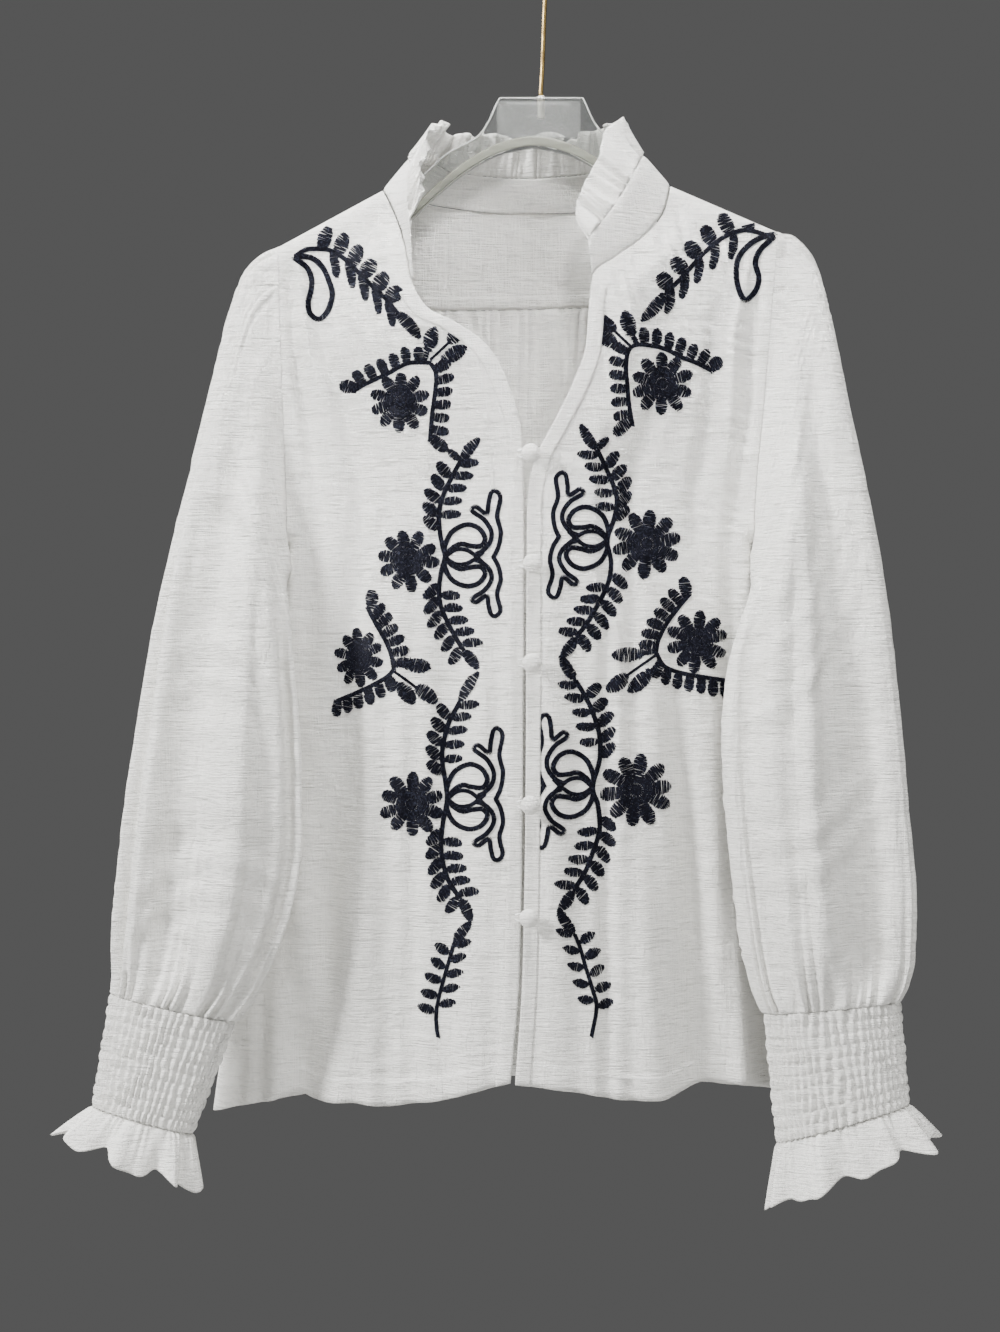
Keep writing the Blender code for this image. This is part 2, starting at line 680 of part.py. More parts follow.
def flat_ring(outer, inner, half, sides, grow=0.0):
    """A flattened ring of points between two corners, down the front and up the back."""
    points = []
    middle, reach = (outer + inner) / 2, (outer - inner) / 2
    length = np.linalg.norm(reach)
    for i in range(sides):
        turn = 2 * math.pi * i / sides
        more = grow[i] if np.ndim(grow) else grow
        out = math.copysign(abs(math.sin(turn)) ** FLATNESS, math.sin(turn))
        points.append(middle + reach * (1 + more / length) * math.cos(turn)
                      + np.array((0, -1.0, 0)) * out * (half + more))
    return np.array(points)


def build_cuff(side):
    """The smocked cuff: ten shirred rows with puffs between, plain inside."""
    top_outer, top_inner, foot_outer, foot_inner = cuff_corners(side)
    axis = cuff_axis(side)
    top_half, foot_half = side.sleeve[-1][6], side.cuff["half"]
    rings, plain = [], []
    steps = 2 * SMOCK_ROWS
    for k in range(steps + 1):
        share = k / steps
        outer = top_outer + (foot_outer - top_outer) * share + axis * SEAM * (1 - share)
        inner = top_inner + (foot_inner - top_inner) * share + axis * SEAM * (1 - share)
        half = top_half + (foot_half - top_half) * share
        puff = [SMOCK_PUFF * (k % 2) * (0.6 + 0.4 * (-1) ** (i + k // 2))
                for i in range(CUFF_SIDES)]
        rings.append(flat_ring(outer, inner, half, CUFF_SIDES, puff))
        plain.append(flat_ring(outer, inner, half, CUFF_SIDES, -CUFF_WALL))
    keep = [0, steps // 2, steps]
    bm = bmesh.new()
    skins = [[[bm.verts.new(p) for p in ring] for ring in rings],
             [[bm.verts.new(p) for p in plain[k]] for k in keep]]
    for skin in skins:
        for upper, lower in zip(skin, skin[1:]):
            for j in range(CUFF_SIDES):
                k = (j + 1) % CUFF_SIDES
                bm.faces.new([upper[j], lower[j], lower[k], upper[k]])
    for end in (0, -1):
        for j in range(CUFF_SIDES):
            k = (j + 1) % CUFF_SIDES
            bm.faces.new([skins[0][end][j], skins[0][end][k],
                          skins[1][end][k], skins[1][end][j]])
    add_object(side.name + "_cuff", bm, cloth_material())


def build_cuff_ruffle(side):
    """The ruffle below the cuff, waved round its free edge."""
    _, _, outer, inner = cuff_corners(side)
    across = unit(inner - outer)
    axis = np.cross(across, (0.0, 1.0, 0.0))
    axis = unit(axis * -np.sign(axis[2]))
    sides = CUFF_WAVES * (WAVE_POINTS + 1)
    reach = np.linalg.norm(inner - outer) / 2
    rings = []
    for share in (0.0, 0.3, 0.65, 1.0):
        down = side.cuff["ruffle"] * share + SEAM
        spread = reach * (side.cuff["flare"] - 1) * share ** 0.8
        grow = []
        for i in range(sides):
            wave = math.sin(CUFF_WAVES * 2 * math.pi * i / sides + side.cuff["phase"])
            slow = math.sin(2 * math.pi * i / sides * 2 + side.cuff["phase"])
            grow.append(spread + (5.5 * wave + 2.5 * slow) * share)
        ring = flat_ring(outer + axis * down, inner + axis * down, side.cuff["half"] - 1,
                         sides, grow)
        turns = np.arange(sides) * 2 * math.pi / sides
        lift = share * (2.5 * np.cos(CUFF_WAVES * turns) - RUFFLE_SLANT * np.cos(turns))
        rings.append(ring + axis * lift[:, None])
    grid = np.array(rings)
    normals = grid_normals(grid, True)
    normals *= -np.sign(normals[0, sides // 4, 1])
    normals[0] = unit(normals[0] - axis * (normals[0] @ axis)[:, None])
    wall(side.name + "_cuff_ruffle", grid, RUFFLE_WALL, cloth_material(), closed=True,
         normals=normals)


def collar_point(column, along):
    return np.array([smooth(COLLAR, along, column + c) for c in range(3)])


def neck_edge():
    """The neck seam's outer points, outward directions and shares along the collar."""
    points, normals, shares = [], [], []
    yoke, yoke_normals = yoke_walls()
    edges = {}
    for side in (RIGHT, LEFT):
        grid = front_grid(side)
        count = ROWS.index(COLLAR_END_T[side.name]) + 1
        edges[side.name] = (grid[:count, 0], front_normals(side, grid)[:count, 0])
    start, end = COLLAR_BACK
    for i in range(len(edges["right"][0]) - 1, 0, -1):
        points.append(edges["right"][0][i])
        normals.append(edges["right"][1][i])
        shares.append(start * (1 - ROWS[i] / COLLAR_END_T["right"]))
    back = yoke[0, FIRST_NECK_COLUMN:LAST_NECK_COLUMN + 1]
    run = np.concatenate([[0.0], np.cumsum(np.linalg.norm(np.diff(back, axis=0), axis=1))])
    for i, point in enumerate(back):
        points.append(point)
        normals.append(yoke_normals[0, FIRST_NECK_COLUMN + i])
        shares.append(start + (end - start) * run[i] / run[-1])
    for i in range(1, len(edges["left"][0])):
        points.append(edges["left"][0][i])
        normals.append(edges["left"][1][i])
        shares.append(end + (1 - end) * ROWS[i] / COLLAR_END_T["left"])
    return np.array(points), np.array(normals), np.array(shares)


def build_collar():
    """The stand band and the gathered ruffle on its top edge."""
    edge, edge_normals, shares = neck_edge()
    foot = edge - edge_normals * CLOTH / 2
    top = np.array([collar_point(1, s) for s in shares])
    up = unit(top - foot)
    foot = foot + up * SEAM
    rows = [foot + (top - up * SEAM / 2 - foot) * s for s in (0.0, 0.25, 0.6, 1.0)]
    normals = grid_normals(np.array(rows), False)
    normals *= np.sign(normals[1, len(shares) // 2, 1])
    normals[0] = edge_normals
    half = np.array((CLOTH, BAND_WALL, BAND_WALL, BAND_WALL))[:, None, None] / 2
    middle = np.array(rows)
    wall("collar_band", middle + normals * half, BAND_WALL, cloth_material(),
         inner=middle - normals * half)

    points = COLLAR_WAVES * WAVE_POINTS
    along = np.linspace(0.0, 1.0, points + 1)
    root, root_normals = (np.array([np.interp(along, shares, values[:, c])
                                    for c in range(3)]).T
                          for values in (top + up * SEAM / 2, normals[-1]))
    edge = np.array([collar_point(4, s) for s in along])
    out = unit(np.cross(np.gradient(root, axis=0), edge - root))
    for _ in range(6):
        out[1:-1] = unit(out[:-2] + out[1:-1] + out[2:])
    wave = np.sin(2 * math.pi * COLLAR_WAVES * along)[:, None]
    ruffle = np.array([root + (edge - root) * s + out * wave * RUFFLE_WAVE * s
                       for s in (0.0, 0.45, 1.0)])
    normals = grid_normals(ruffle, False)
    normals *= np.sign(normals[0, points // 2, 1])
    normals[0] = unit(root_normals)
    wall("collar_ruffle", ruffle + normals * RUFFLE_WALL / 2, RUFFLE_WALL,
         cloth_material(), normals=normals)


def placket_face(z, reach):
    """Depth of the plackets' outer face, foremost within a reach of the height z."""
    depths = []
    for side in (RIGHT, LEFT):
        shares = np.linspace(0.3, 1.0, 300)
        heights = np.array([smooth(side.inner, t, 3) for t in shares])
        for level in (z - reach, z, z + reach):
            t = shares[int(np.argmin(abs(heights - level)))]
            width = abs(smooth(side.side, t, 1) - smooth(side.inner, t, 1))
            depths += [side.front_point(f, t)[1] for f in (0.0, PLACKET_WIDTH / width)]
    return min(depths) - SEAM - PLACKET_WALL


def build_button(number, x, z):
    """A cloth-covered ball button on its short shank, turned about Y."""
    face = placket_face(z, SHANK_RADIUS) - SEAM
    profile = [(0.0, 0.0), (SHANK_RADIUS, 0.0), (SHANK_RADIUS, SHANK_HEIGHT)]
    steps = 6
    for i in range(1, steps):
        angle = math.pi * i / steps - math.pi / 2
        profile.append((BUTTON_RADIUS * math.cos(angle),
                        SHANK_HEIGHT + BUTTON_DEPTH / 2 * (1 + math.sin(angle))))
    profile.append((0.0, SHANK_HEIGHT + BUTTON_DEPTH))
    add_turned("button_%d" % number, profile, 12, (x, face, z), cloth_material())


def add_turned(name, profile, sides, at, mat):
    """A solid turned about -Y from a profile of radius and height out."""
    bm = bmesh.new()
    rings = []
    for radius, out in profile:
        if radius < 1e-6:
            rings.append([bm.verts.new((at[0], at[1] - out, at[2]))])
            continue
        rings.append([bm.verts.new((at[0] + radius * math.cos(2 * math.pi * i / sides),
                                    at[1] - out,
                                    at[2] + radius * math.sin(2 * math.pi * i / sides)))
                      for i in range(sides)])
    for lower, upper in zip(rings, rings[1:]):
        for i in range(sides):
            k = (i + 1) % sides
            if len(lower) == 1:
                bm.faces.new([lower[0], upper[i], upper[k]])
            elif len(upper) == 1:
                bm.faces.new([lower[i], lower[k], upper[0]])
            else:
                bm.faces.new([lower[i], lower[k], upper[k], upper[i]])
    return add_object(name, bm, mat)


def add_tube(name, path, radius, sides, mat):
    """A round tube with capped ends along a path of points."""
    path = np.asarray(path, float)
    along = unit(np.gradient(path, axis=0))
    bm = bmesh.new()
    rings = []
    side = unit(np.cross(along[0], (0.0, 1.0, 0.0)))
    for point, way in zip(path, along):
        side = unit(side - way * (side @ way))
        other = np.cross(way, side)
        rings.append([bm.verts.new(point + radius * (math.cos(a) * side + math.sin(a) * other))
                      for a in np.arange(sides) * 2 * math.pi / sides])
    for lower, upper in zip(rings, rings[1:]):
        for i in range(sides):
            k = (i + 1) % sides
            bm.faces.new([lower[i], lower[k], upper[k], upper[i]])
    bm.faces.new(rings[0][::-1])
    bm.faces.new(rings[-1])
    return add_object(name, bm, mat)


def build_loop(number, x, z):
    """The thread loop that comes from the right front's edge round a button's shank."""
    reach = SHANK_RADIUS + LOOP_RADIUS + 0.4
    depth = placket_face(z, reach + LOOP_RADIUS) - SEAM - LOOP_RADIUS
    start = x - 9.0
    path = [(start, depth, z + reach)]
    turns = 8
    for i in range(turns + 1):
        angle = math.pi / 2 - math.pi * i / turns
        path.append((x + reach * math.cos(angle), depth, z + reach * math.sin(angle)))
    path.append((start, depth, z - reach))
    add_tube("loop_%d" % number, path, LOOP_RADIUS, 6, cloth_material())


def plate_outline():
    """The hanger plate's outline in x and z, anticlockwise as seen from the front."""
    halves = []
    for side in (LEFT, RIGHT):
        slope = (side.tip - side.neck) / np.linalg.norm(side.tip - side.neck)
        down = np.array((-slope[1], slope[0])) * side.sign
        down = down * -np.sign(down[1])
        line = []
        for x in (abs(side.neck[0]) + ARM_START, ARM_END):
            share = (side.sign * x - side.neck[0]) / slope[0]
            line.append(side.neck + slope * share + down * ARM_DROP)
        end = [line[1] + slope * 6 * math.sin(a) + down * ARM_WIDTH * (1 - math.cos(a)) / 2
               for a in np.linspace(0.15 * math.pi, 0.85 * math.pi, 5)]
        foot = [line[1] + down * ARM_WIDTH, line[0] + down * ARM_WIDTH]
        half = [(side.sign * PLATE_TOP_HALF, PLATE_TOP_Z)]
        half += [(side.sign * x, z) for x, z in PLATE_SHOULDER]
        half += [(side.neck[0] * share, z) for share, z in PLATE_SLOPE]
        half += [tuple(p) for p in (line[0], line[1])]
        half += [tuple(p) for p in end] + [tuple(p) for p in foot]
        half += [(side.sign * x + ARCH_SHIFT, z) for x, z in PLATE_ARCH]
        halves.append(half)
    return halves[0] + halves[1][-2::-1]


def build_hanger():
    """Clear plate, the ferrule let into its top edge, and the rod with its hook."""
    outline = plate_outline()
    bm = bmesh.new()
    front = [bm.verts.new((x, -PLATE_THICKNESS / 2, z)) for x, z in outline]
    back = [bm.verts.new((x, PLATE_THICKNESS / 2, z)) for x, z in outline]
    bm.faces.new(front)
    bm.faces.new(back[::-1])
    count = len(outline)
    for i in range(count):
        k = (i + 1) % count
        bm.faces.new([front[i], back[i], back[k], front[k]])
    acrylic = material("clear_acrylic", (0.80, 0.84, 0.82, 1.0), 0.05)
    plate = add_object("hanger_plate", bm, acrylic)
    bevel = plate.modifiers.new("soft_edges", "BEVEL")
    bevel.width = PLATE_CHAMFER * MM
    bevel.segments = 1
    bevel.limit_method = "ANGLE"
    bevel.angle_limit = math.radians(50)
    depth = FERRULE_LENGTH + SEAM
    cutter = add_pin("ferrule_hole", FERRULE_RADIUS + SEAM, PLATE_TOP_Z - depth,
                     PLATE_TOP_Z + 5, acrylic, sides=12)
    cutter.hide_render = True
    cutter.display_type = "WIRE"
    cut = plate.modifiers.new("ferrule_hole", "BOOLEAN")
    cut.object = cutter
    cut.operation = "DIFFERENCE"
    add_pin("ferrule", FERRULE_RADIUS, PLATE_TOP_Z - FERRULE_LENGTH, PLATE_TOP_Z + ROD_BASE,
            material("pale_ferrule", (0.75, 0.72, 0.62, 1.0), 0.35, 0.3), sides=12)

    start = np.array((0.0, 0.0, PLATE_TOP_Z + ROD_BASE + SEAM))
    neck_z = -(2 * HOOK_RADIUS + ROD_RADIUS + 9.0)
    centre_z = -(HOOK_RADIUS + ROD_RADIUS)
    path = [start, start + (0, 0, 4), (ROD_LEAN * 0.4, 0, -100), (ROD_LEAN, 0, neck_z - 10)]
    path.append((ROD_LEAN + 1.5, 0, neck_z + 1))
    for i in range(HOOK_STEPS + 1):
        angle = math.radians(HOOK_START + HOOK_TURN * i / HOOK_STEPS)
        path.append((HOOK_RADIUS * math.cos(angle), 0,
                     centre_z + HOOK_RADIUS * math.sin(angle)))
    add_tube("hook_rod", path, ROD_RADIUS, 8,
             material("brass", (0.62, 0.45, 0.20, 1.0), 0.3, 1.0))


def add_pin(name, radius, low, high, mat, sides):
    bm = bmesh.new()
    rings = [[bm.verts.new((radius * math.cos(2 * math.pi * i / sides),
                            radius * math.sin(2 * math.pi * i / sides), z))
              for i in range(sides)] for z in (low, high)]
    for i in range(sides):
        k = (i + 1) % sides
        bm.faces.new([rings[0][i], rings[0][k], rings[1][k], rings[1][i]])
    bm.faces.new(rings[0][::-1])
    bm.faces.new(rings[1])
    return add_object(name, bm, mat)


def main():
    for obj in list(bpy.data.objects):
        bpy.data.objects.remove(obj)
    for side in (RIGHT, LEFT):
        build_front(side)
        build_placket(side)
        build_sleeve(side)
        build_cuff(side)
        build_cuff_ruffle(side)
    build_back()
    build_collar()
    for number, (x, z) in enumerate(BUTTONS, start=1):
        build_button(number, x, z)
        build_loop(number, x, z)
    build_hanger()


main()
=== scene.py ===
"""Looks of an embroidered blouse on a clear hanger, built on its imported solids.

Sizes are in millimetres and the frame is the solids' own: the front faces -Y, +X is on the
viewer's right, +Z is up, and the origin is where the hook bears on a rail.
"""
import math

import bmesh
import bpy
import numpy as np
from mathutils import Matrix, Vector
from mathutils.bvhtree import BVHTree


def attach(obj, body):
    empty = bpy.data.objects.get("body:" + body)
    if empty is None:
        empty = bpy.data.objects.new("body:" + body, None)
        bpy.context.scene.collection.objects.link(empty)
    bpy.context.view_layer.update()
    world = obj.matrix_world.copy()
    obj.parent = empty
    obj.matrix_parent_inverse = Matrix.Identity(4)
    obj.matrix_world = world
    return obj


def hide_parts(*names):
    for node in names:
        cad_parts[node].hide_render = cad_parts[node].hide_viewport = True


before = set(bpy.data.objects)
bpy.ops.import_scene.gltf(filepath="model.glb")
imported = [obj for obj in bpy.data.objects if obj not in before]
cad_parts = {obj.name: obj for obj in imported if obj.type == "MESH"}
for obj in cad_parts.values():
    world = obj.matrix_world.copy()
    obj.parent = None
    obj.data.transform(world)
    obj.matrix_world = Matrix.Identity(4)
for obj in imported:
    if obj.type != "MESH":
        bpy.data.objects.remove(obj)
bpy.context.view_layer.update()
MM = 0.001
CAMERA = np.array((-28.0, -1600.0, -510.0))

CLOTH = 0.9              # the crepe's shell, thinner than the solid's wall
SEAM = 0.3               # what two sewn edges stand apart
RIDGE_ROUND = 12.0       # how far from a fold the cloth turns flat
SIDE_DEPTH = 11.0        # front and back from the middle plane, at the sides
BACK_DEPTH = 40.0        # the back from the middle plane, at its middle
BACK_MIDDLE = -11.0      # where the back is deepest, in x
BACK_HALF = 185.0
NECK_BLEND = 60.0        # how far below the neck seam the back reaches its full depth
NECK_CORNER = 45.0       # how far from the neck point it takes to go over to that
SHOULDER_SLANT = 0.9     # distance from a shoulder seam for each millimetre below it
HEM_LIFT = 14.0          # how much higher the back's hem is at its middle
YOKE_T = 0.10            # share of the way down where the yoke seam meets the armhole
UNDERARM_T = 0.50        # where the side seam starts
HEM_RISE_T = 0.85        # where the hem's own line begins to tell
HEM_T = 0.978            # where the turned-up hem's stitching lies
HEM_STEP = 0.7           # how much thicker the cloth is in the hem
HEM_ROWS = (0.9765, 0.978, 0.9795, 0.981)
FACING_T = 0.017         # how far the turned seam allowance reaches above the yoke seam
PLACKET_WIDTH = 10.0
ROD_RADIUS = 1.4
HOOK_RADIUS = 19.4       # middle of the wire
SMOCK_ROWS = 10
FLATNESS = 0.75          # power that makes a ring round an arm flatter than an ellipse
ARMHOLE_T = (0.0, 0.006, 0.016, 0.032, 0.065, 0.10, 0.15, 0.20, 0.26, 0.32, 0.38,
             0.43, 0.468, 0.484, 0.494, 0.50)
# Inner edge of each front, from the neck point at the shoulder, down the collar seam
# and then down the opening: share of the way down, x, depth forward, z
RIGHT_INNER = (
    (0.00, -108, 11, -187), (0.05, -100, 14, -204), (0.10, -92, 26, -228), (0.15, -87, 33, -253),
    (0.20, -76, 38, -272), (0.25, -56, 41, -283), (0.30, -36, 41, -298), (0.35, -22, 39, -324),
    (0.40, -14, 36, -353), (0.45, -12, 34, -383), (0.50, -12, 34, -413), (0.75, -13, 34, -600),
    (0.90, -15, 36, -712), (1.00, -21, 37, -787),
)
LEFT_INNER = (
    (0.00, 88, 11, -184), (0.05, 83, 14, -203), (0.10, 69, 25, -222), (0.15, 50, 33, -237),
    (0.20, 34, 38, -250), (0.25, 31, 39, -271), (0.30, 29, 39, -297), (0.35, 20, 38, -323),
    (0.40, 7, 36, -349), (0.45, -6, 34, -376), (0.50, -10, 34, -406), (0.75, -11, 34, -597),
    (0.90, -13, 36, -712), (1.00, -18, 38, -788),
)
# Outer edge of each front: share of the way down, x, depth back, z. The armhole comes
# first, from the shoulder's tip to the underarm, then the side seam down to the hem.
RIGHT_SIDE = (
    (0.00, -178, 0, -225), (0.25, -175, 0, -326), (0.50, -172, 0, -428), (0.60, -181, 4, -499),
    (0.70, -189, 9, -576), (0.80, -201, 15, -654), (0.90, -214, 20, -733), (1.00, -226, 25, -816),
)
LEFT_SIDE = (
    (0.00, 160, 0, -215), (0.25, 151, 0, -322), (0.50, 143.5, 0, -428), (0.60, 151, 4, -499),
    (0.70, 156, 9, -576), (0.80, 166, 15, -653), (0.90, 177, 20, -731), (1.00, 192, 25, -806),
)
# Back neck seam from the right neck point to the left one: x, depth back, z
BACK_NECK = (
    (-108, 0, -187), (-98, 17, -188), (-81, 30, -190), (-52, 38, -193), (-24, 42, -195),
    (21, 38, -195), (55, 28, -191), (76, 15, -187), (88, 0, -184),
)
# Collar from its right front end, round the back, to its left front end: how far along,
# then x, depth back, z of the band's top edge and of the ruffle's free edge
COLLAR = (
    (0.00, -88, -37, -215, -82, -33, -196), (0.08, -90, -26, -193, -80, -20, -171),
    (0.17, -89, 0, -165, -72, 0, -141), (0.23, -84, 12, -165, -67, 8, -141),
    (0.29, -73, 22, -167, -60, 15, -144), (0.38, -48, 29, -170, -41, 21, -146),
    (0.48, -15, 32, -172, -13, 24, -148), (0.60, 20, 29, -171, 19, 22, -146),
    (0.70, 46, 22, -168, 38, 16, -143), (0.77, 63, 9, -165, 50, 5, -141),
    (0.83, 69, -4, -164, 54, -8, -139), (0.91, 54, -32, -194, 32, -32, -180),
    (1.00, 30, -42, -228, 20, -40, -212),
)
COLLAR_BACK = (0.17, 0.83)   # the share along where the collar passes each shoulder seam
# Sleeves from the armhole to the cuff: x, depth, z of the upper outer edge, then of the
# lower inner edge, and half the depth between the two walls
RIGHT_SLEEVE = (
    (-178, 0, -225, -172, 0, -428, 11), (-188, 0, -229, -171, -4, -431, 12),
    (-201, -1, -241, -169.5, -9, -436, 14), (-211, -3, -267, -169, -12, -444, 16),
    (-222, -7, -312, -171.5, -18, -456, 18), (-238, -14, -388, -167, -27, -484, 20),
    (-253, -23, -460, -163, -33, -524, 21), (-266, -30, -536, -160, -37, -575, 22),
    (-276, -35, -603, -160, -39, -625, 22), (-282, -37, -660, -166, -40, -666, 21),
    (-284, -38, -694, -176, -41, -697, 19), (-284, -39, -714, -190, -41, -727, 17),
    (-285, -40, -727, -204, -41, -745, 15),
)
LEFT_SLEEVE = (
    (160, 0, -215, 143.5, 0, -428, 11), (169, 0, -216, 142.5, -4, -431, 12),
    (180, -1, -225, 141, -9, -436, 14), (188, -3, -240, 141, -12, -444, 16),
    (196, -7, -272, 141, -18, -456, 18), (208, -14, -340, 134, -27, -478, 20),
    (221, -23, -420, 125, -33, -516, 21), (232, -30, -505, 122, -37, -565, 22),
    (240, -35, -592, 125, -39, -615, 22), (245, -37, -660, 131, -40, -668, 21),
    (245, -38, -701, 136, -41, -702, 19), (242, -39, -720, 142, -41, -727, 17),
    (236, -40, -732, 148, -41, -740, 15),
)
# Cuffs: the foot's outer and inner corner as x, z, half the depth, ruffle height and how
# much wider the ruffle's edge is than its root
RIGHT_CUFF = dict(outer=(-297, -801), inner=(-232, -819), half=13, ruffle=27, flare=1.42,
                  phase=0.4)
LEFT_CUFF = dict(outer=(242, -800), inner=(156, -825), half=13, ruffle=32, flare=1.28,
                 phase=2.1)
CUFF_DEPTH = -41
CUFF_WAVES = 9
RUFFLE_SLANT = 6.0       # how much more a cuff's ruffle hangs on the side near the body
COLLAR_WAVES = 22
RUFFLE_WAVE = 2.9        # half the height of a collar ruffle's wave

# Hems of the fronts: share across from the opening, and how much higher than straight
RIGHT_HEM = ((0.0, 0), (0.12, -3), (0.26, -7), (0.38, -7), (0.53, -1), (0.65, 2),
             (0.71, 8), (0.80, 5), (0.90, 3), (1.0, 0))
LEFT_HEM = ((0.0, 0), (0.19, -2), (0.35, -5.5), (0.46, -4.5), (0.54, 1), (0.62, 8),
            (0.74, 9), (0.85, 6), (1.0, 0))

# Soft folds: share across at the top and at the hem, share down where it starts and
# where it is full, half width across, height out of the cloth in mm
RIGHT_FOLDS = (
    (0.80, 0.66, 0.45, 0.95, 0.055, -8), (0.90, 0.78, 0.50, 0.95, 0.050, 5),
    (0.66, 0.55, 0.45, 0.95, 0.060, 6), (0.35, 0.30, 0.30, 0.90, 0.130, -4),
    (0.20, 0.25, 0.03, 0.15, 0.060, -1.6), (0.45, 0.45, 0.03, 0.15, 0.060, 1.8),
    (0.70, 0.66, 0.04, 0.20, 0.070, -1.5),
)
LEFT_FOLDS = (
    (0.70, 0.60, 0.40, 0.95, 0.060, -9), (0.88, 0.76, 0.50, 0.95, 0.060, 6),
    (0.48, 0.44, 0.40, 0.95, 0.090, 6), (0.22, 0.24, 0.50, 0.90, 0.080, -3),
    (0.20, 0.25, 0.03, 0.15, 0.060, 1.6), (0.42, 0.45, 0.03, 0.15, 0.060, -1.8),
    (0.66, 0.66, 0.04, 0.20, 0.070, 1.5),
)
# Long folds of the back: x, half width, how much it leans, height in mm
BACK_FOLDS = ((-96, 13, 0.05, -5.0), (-60, 16, 0.0, 3.0), (-10, 14, -0.02, -4.0),
              (38, 15, -0.04, 3.5), (84, 13, -0.08, -5.0))
# Sleeve folds: share round from the upper edge down the front (0 to 1) and back up
# (1 to 2), share along where it starts, where it ends, half width, height in mm
RIGHT_SLEEVE_FOLDS = (
    (0.42, 0.20, 0.99, 0.10, -7), (0.62, 0.20, 0.99, 0.10, 5), (0.80, 0.30, 0.97, 0.09, -5),
    (1.35, 0.25, 0.99, 0.12, -5), (1.65, 0.20, 0.99, 0.12, 4),
)
LEFT_SLEEVE_FOLDS = (
    (0.36, 0.20, 0.99, 0.10, -8), (0.56, 0.20, 0.99, 0.10, 4), (0.76, 0.30, 0.99, 0.09, -5),
    (1.30, 0.25, 0.99, 0.12, -5), (1.62, 0.20, 0.99, 0.12, 4),
)
# Buttons from the top: x and z
BUTTONS = ((-7.5, -369), (-6.5, -442), (-7.0, -508), (-8.0, -602), (-9.0, -677))

# Hanger plate, from its top edge down to an arm and back along the arch, in x and z
PLATE_TOP_HALF = 29.0
PLATE_TOP_Z = -124.0
PLATE_SHOULDER = ((31, -128), (37, -141), (45, -151))
PLATE_SLOPE = ((0.60, -162), (0.76, -178), (0.90, -193))   # x over the neck point's x
PLATE_ARCH = ((84, -208), (66, -191), (46, -175), (24, -163), (0, -158))
ARCH_SHIFT = -5.0        # the arch's middle, to the right side of the rod
ARM_DROP = 2.5           # top of an arm below the shoulder fold, across the slope
ARM_WIDTH = 27.0
ARM_START = 13.0         # start of an arm's straight edge, out from the neck point
ARM_END = 150.0
FERRULE_RADIUS = 2.6
FERRULE_LENGTH = 14.0
ROD_LEAN = 2.6           # how far the rod leans to +X below the hook
ROD_BASE = 1.5           # how far the ferrule stands out of the plate
HOOK_TURN = 262          # degrees of the hook's bend
HOOK_START = -62         # degrees, where the bend begins
HOOK_STEPS = 16


def smooth(rows, at, column):
    """A smooth value between a table's rows, whose first column is the key."""
    keys = np.array([row[0] for row in rows], float)
    values = np.array([row[column] for row in rows], float)
    steps = np.diff(values) / np.diff(keys)
    inner = [0.0 if a * b <= 0 else 2 * a * b / (a + b) for a, b in zip(steps, steps[1:])]
    slopes = np.array([steps[0]] + inner + [steps[-1]])
    at = np.clip(at, keys[0], keys[-1])
    i = np.clip(np.searchsorted(keys, at) - 1, 0, len(keys) - 2)
    span = keys[i + 1] - keys[i]
    s = (at - keys[i]) / span
    start = (1 + 2 * s) * (1 - s) ** 2 * values[i] + s * (1 - s) ** 2 * span * slopes[i]
    end = s * s * (3 - 2 * s) * values[i + 1] + s * s * (s - 1) * span * slopes[i + 1]
    return start + end


def ease(x):
    x = np.clip(x, 0.0, 1.0)
    return x * x * (3 - 2 * x)


def bell(x, centre, half):
    return np.exp(-((x - centre) / half) ** 2)


def rounding(distance, reach=RIDGE_ROUND):
    """How much of its depth the cloth has at a distance from a closed fold."""
    away = 1 - np.clip(distance / reach, 0.0, 1.0)
    return np.sqrt(1 - away * away)


def unit(vectors):
    return vectors / np.maximum(np.linalg.norm(vectors, axis=-1, keepdims=True), 1e-9)


def ripple(x, period, seed, jitter=0.35):
    """An uneven run of small waves, each a little wider or narrower than the last."""
    turns = x / period
    drift = jitter * np.sin(turns * 1.9 + seed) + 0.6 * jitter * np.sin(turns * 0.83 + 2 * seed)
    height = 0.75 + 0.25 * np.sin(turns * 2.7 + 3 * seed)
    return height * np.sin(2 * math.pi * x / period + 2 * math.pi * drift)


def crown(count, power=4):
    """A band's rounded height across its width, 0 at both edges and 1 between."""
    return np.sqrt(np.clip(1 - np.linspace(-1, 1, count) ** power, 0, 1))


def full_turn(count):
    return np.linspace(0, 2 * math.pi, count, endpoint=False)


def toward(angle):
    """The direction of an angle in degrees."""
    return np.array((math.cos(math.radians(angle)), math.sin(math.radians(angle))))


def lengths(line):
    """How far along a line each of its points lies."""
    return np.concatenate([[0], np.cumsum(np.linalg.norm(np.diff(line, axis=0), axis=1))])


def columns_at(at, keys, table):
    """A table's columns between its rows, at values of its keys."""
    return np.stack([np.interp(at, keys, table[:, c]) for c in range(table.shape[1])], -1)


def grid_normals(grid, closed=False):
    if closed:
        across = np.roll(grid, -1, 1) - np.roll(grid, 1, 1)
    else:
        across = np.gradient(grid, axis=1)
    return unit(np.cross(across, np.gradient(grid, axis=0)))


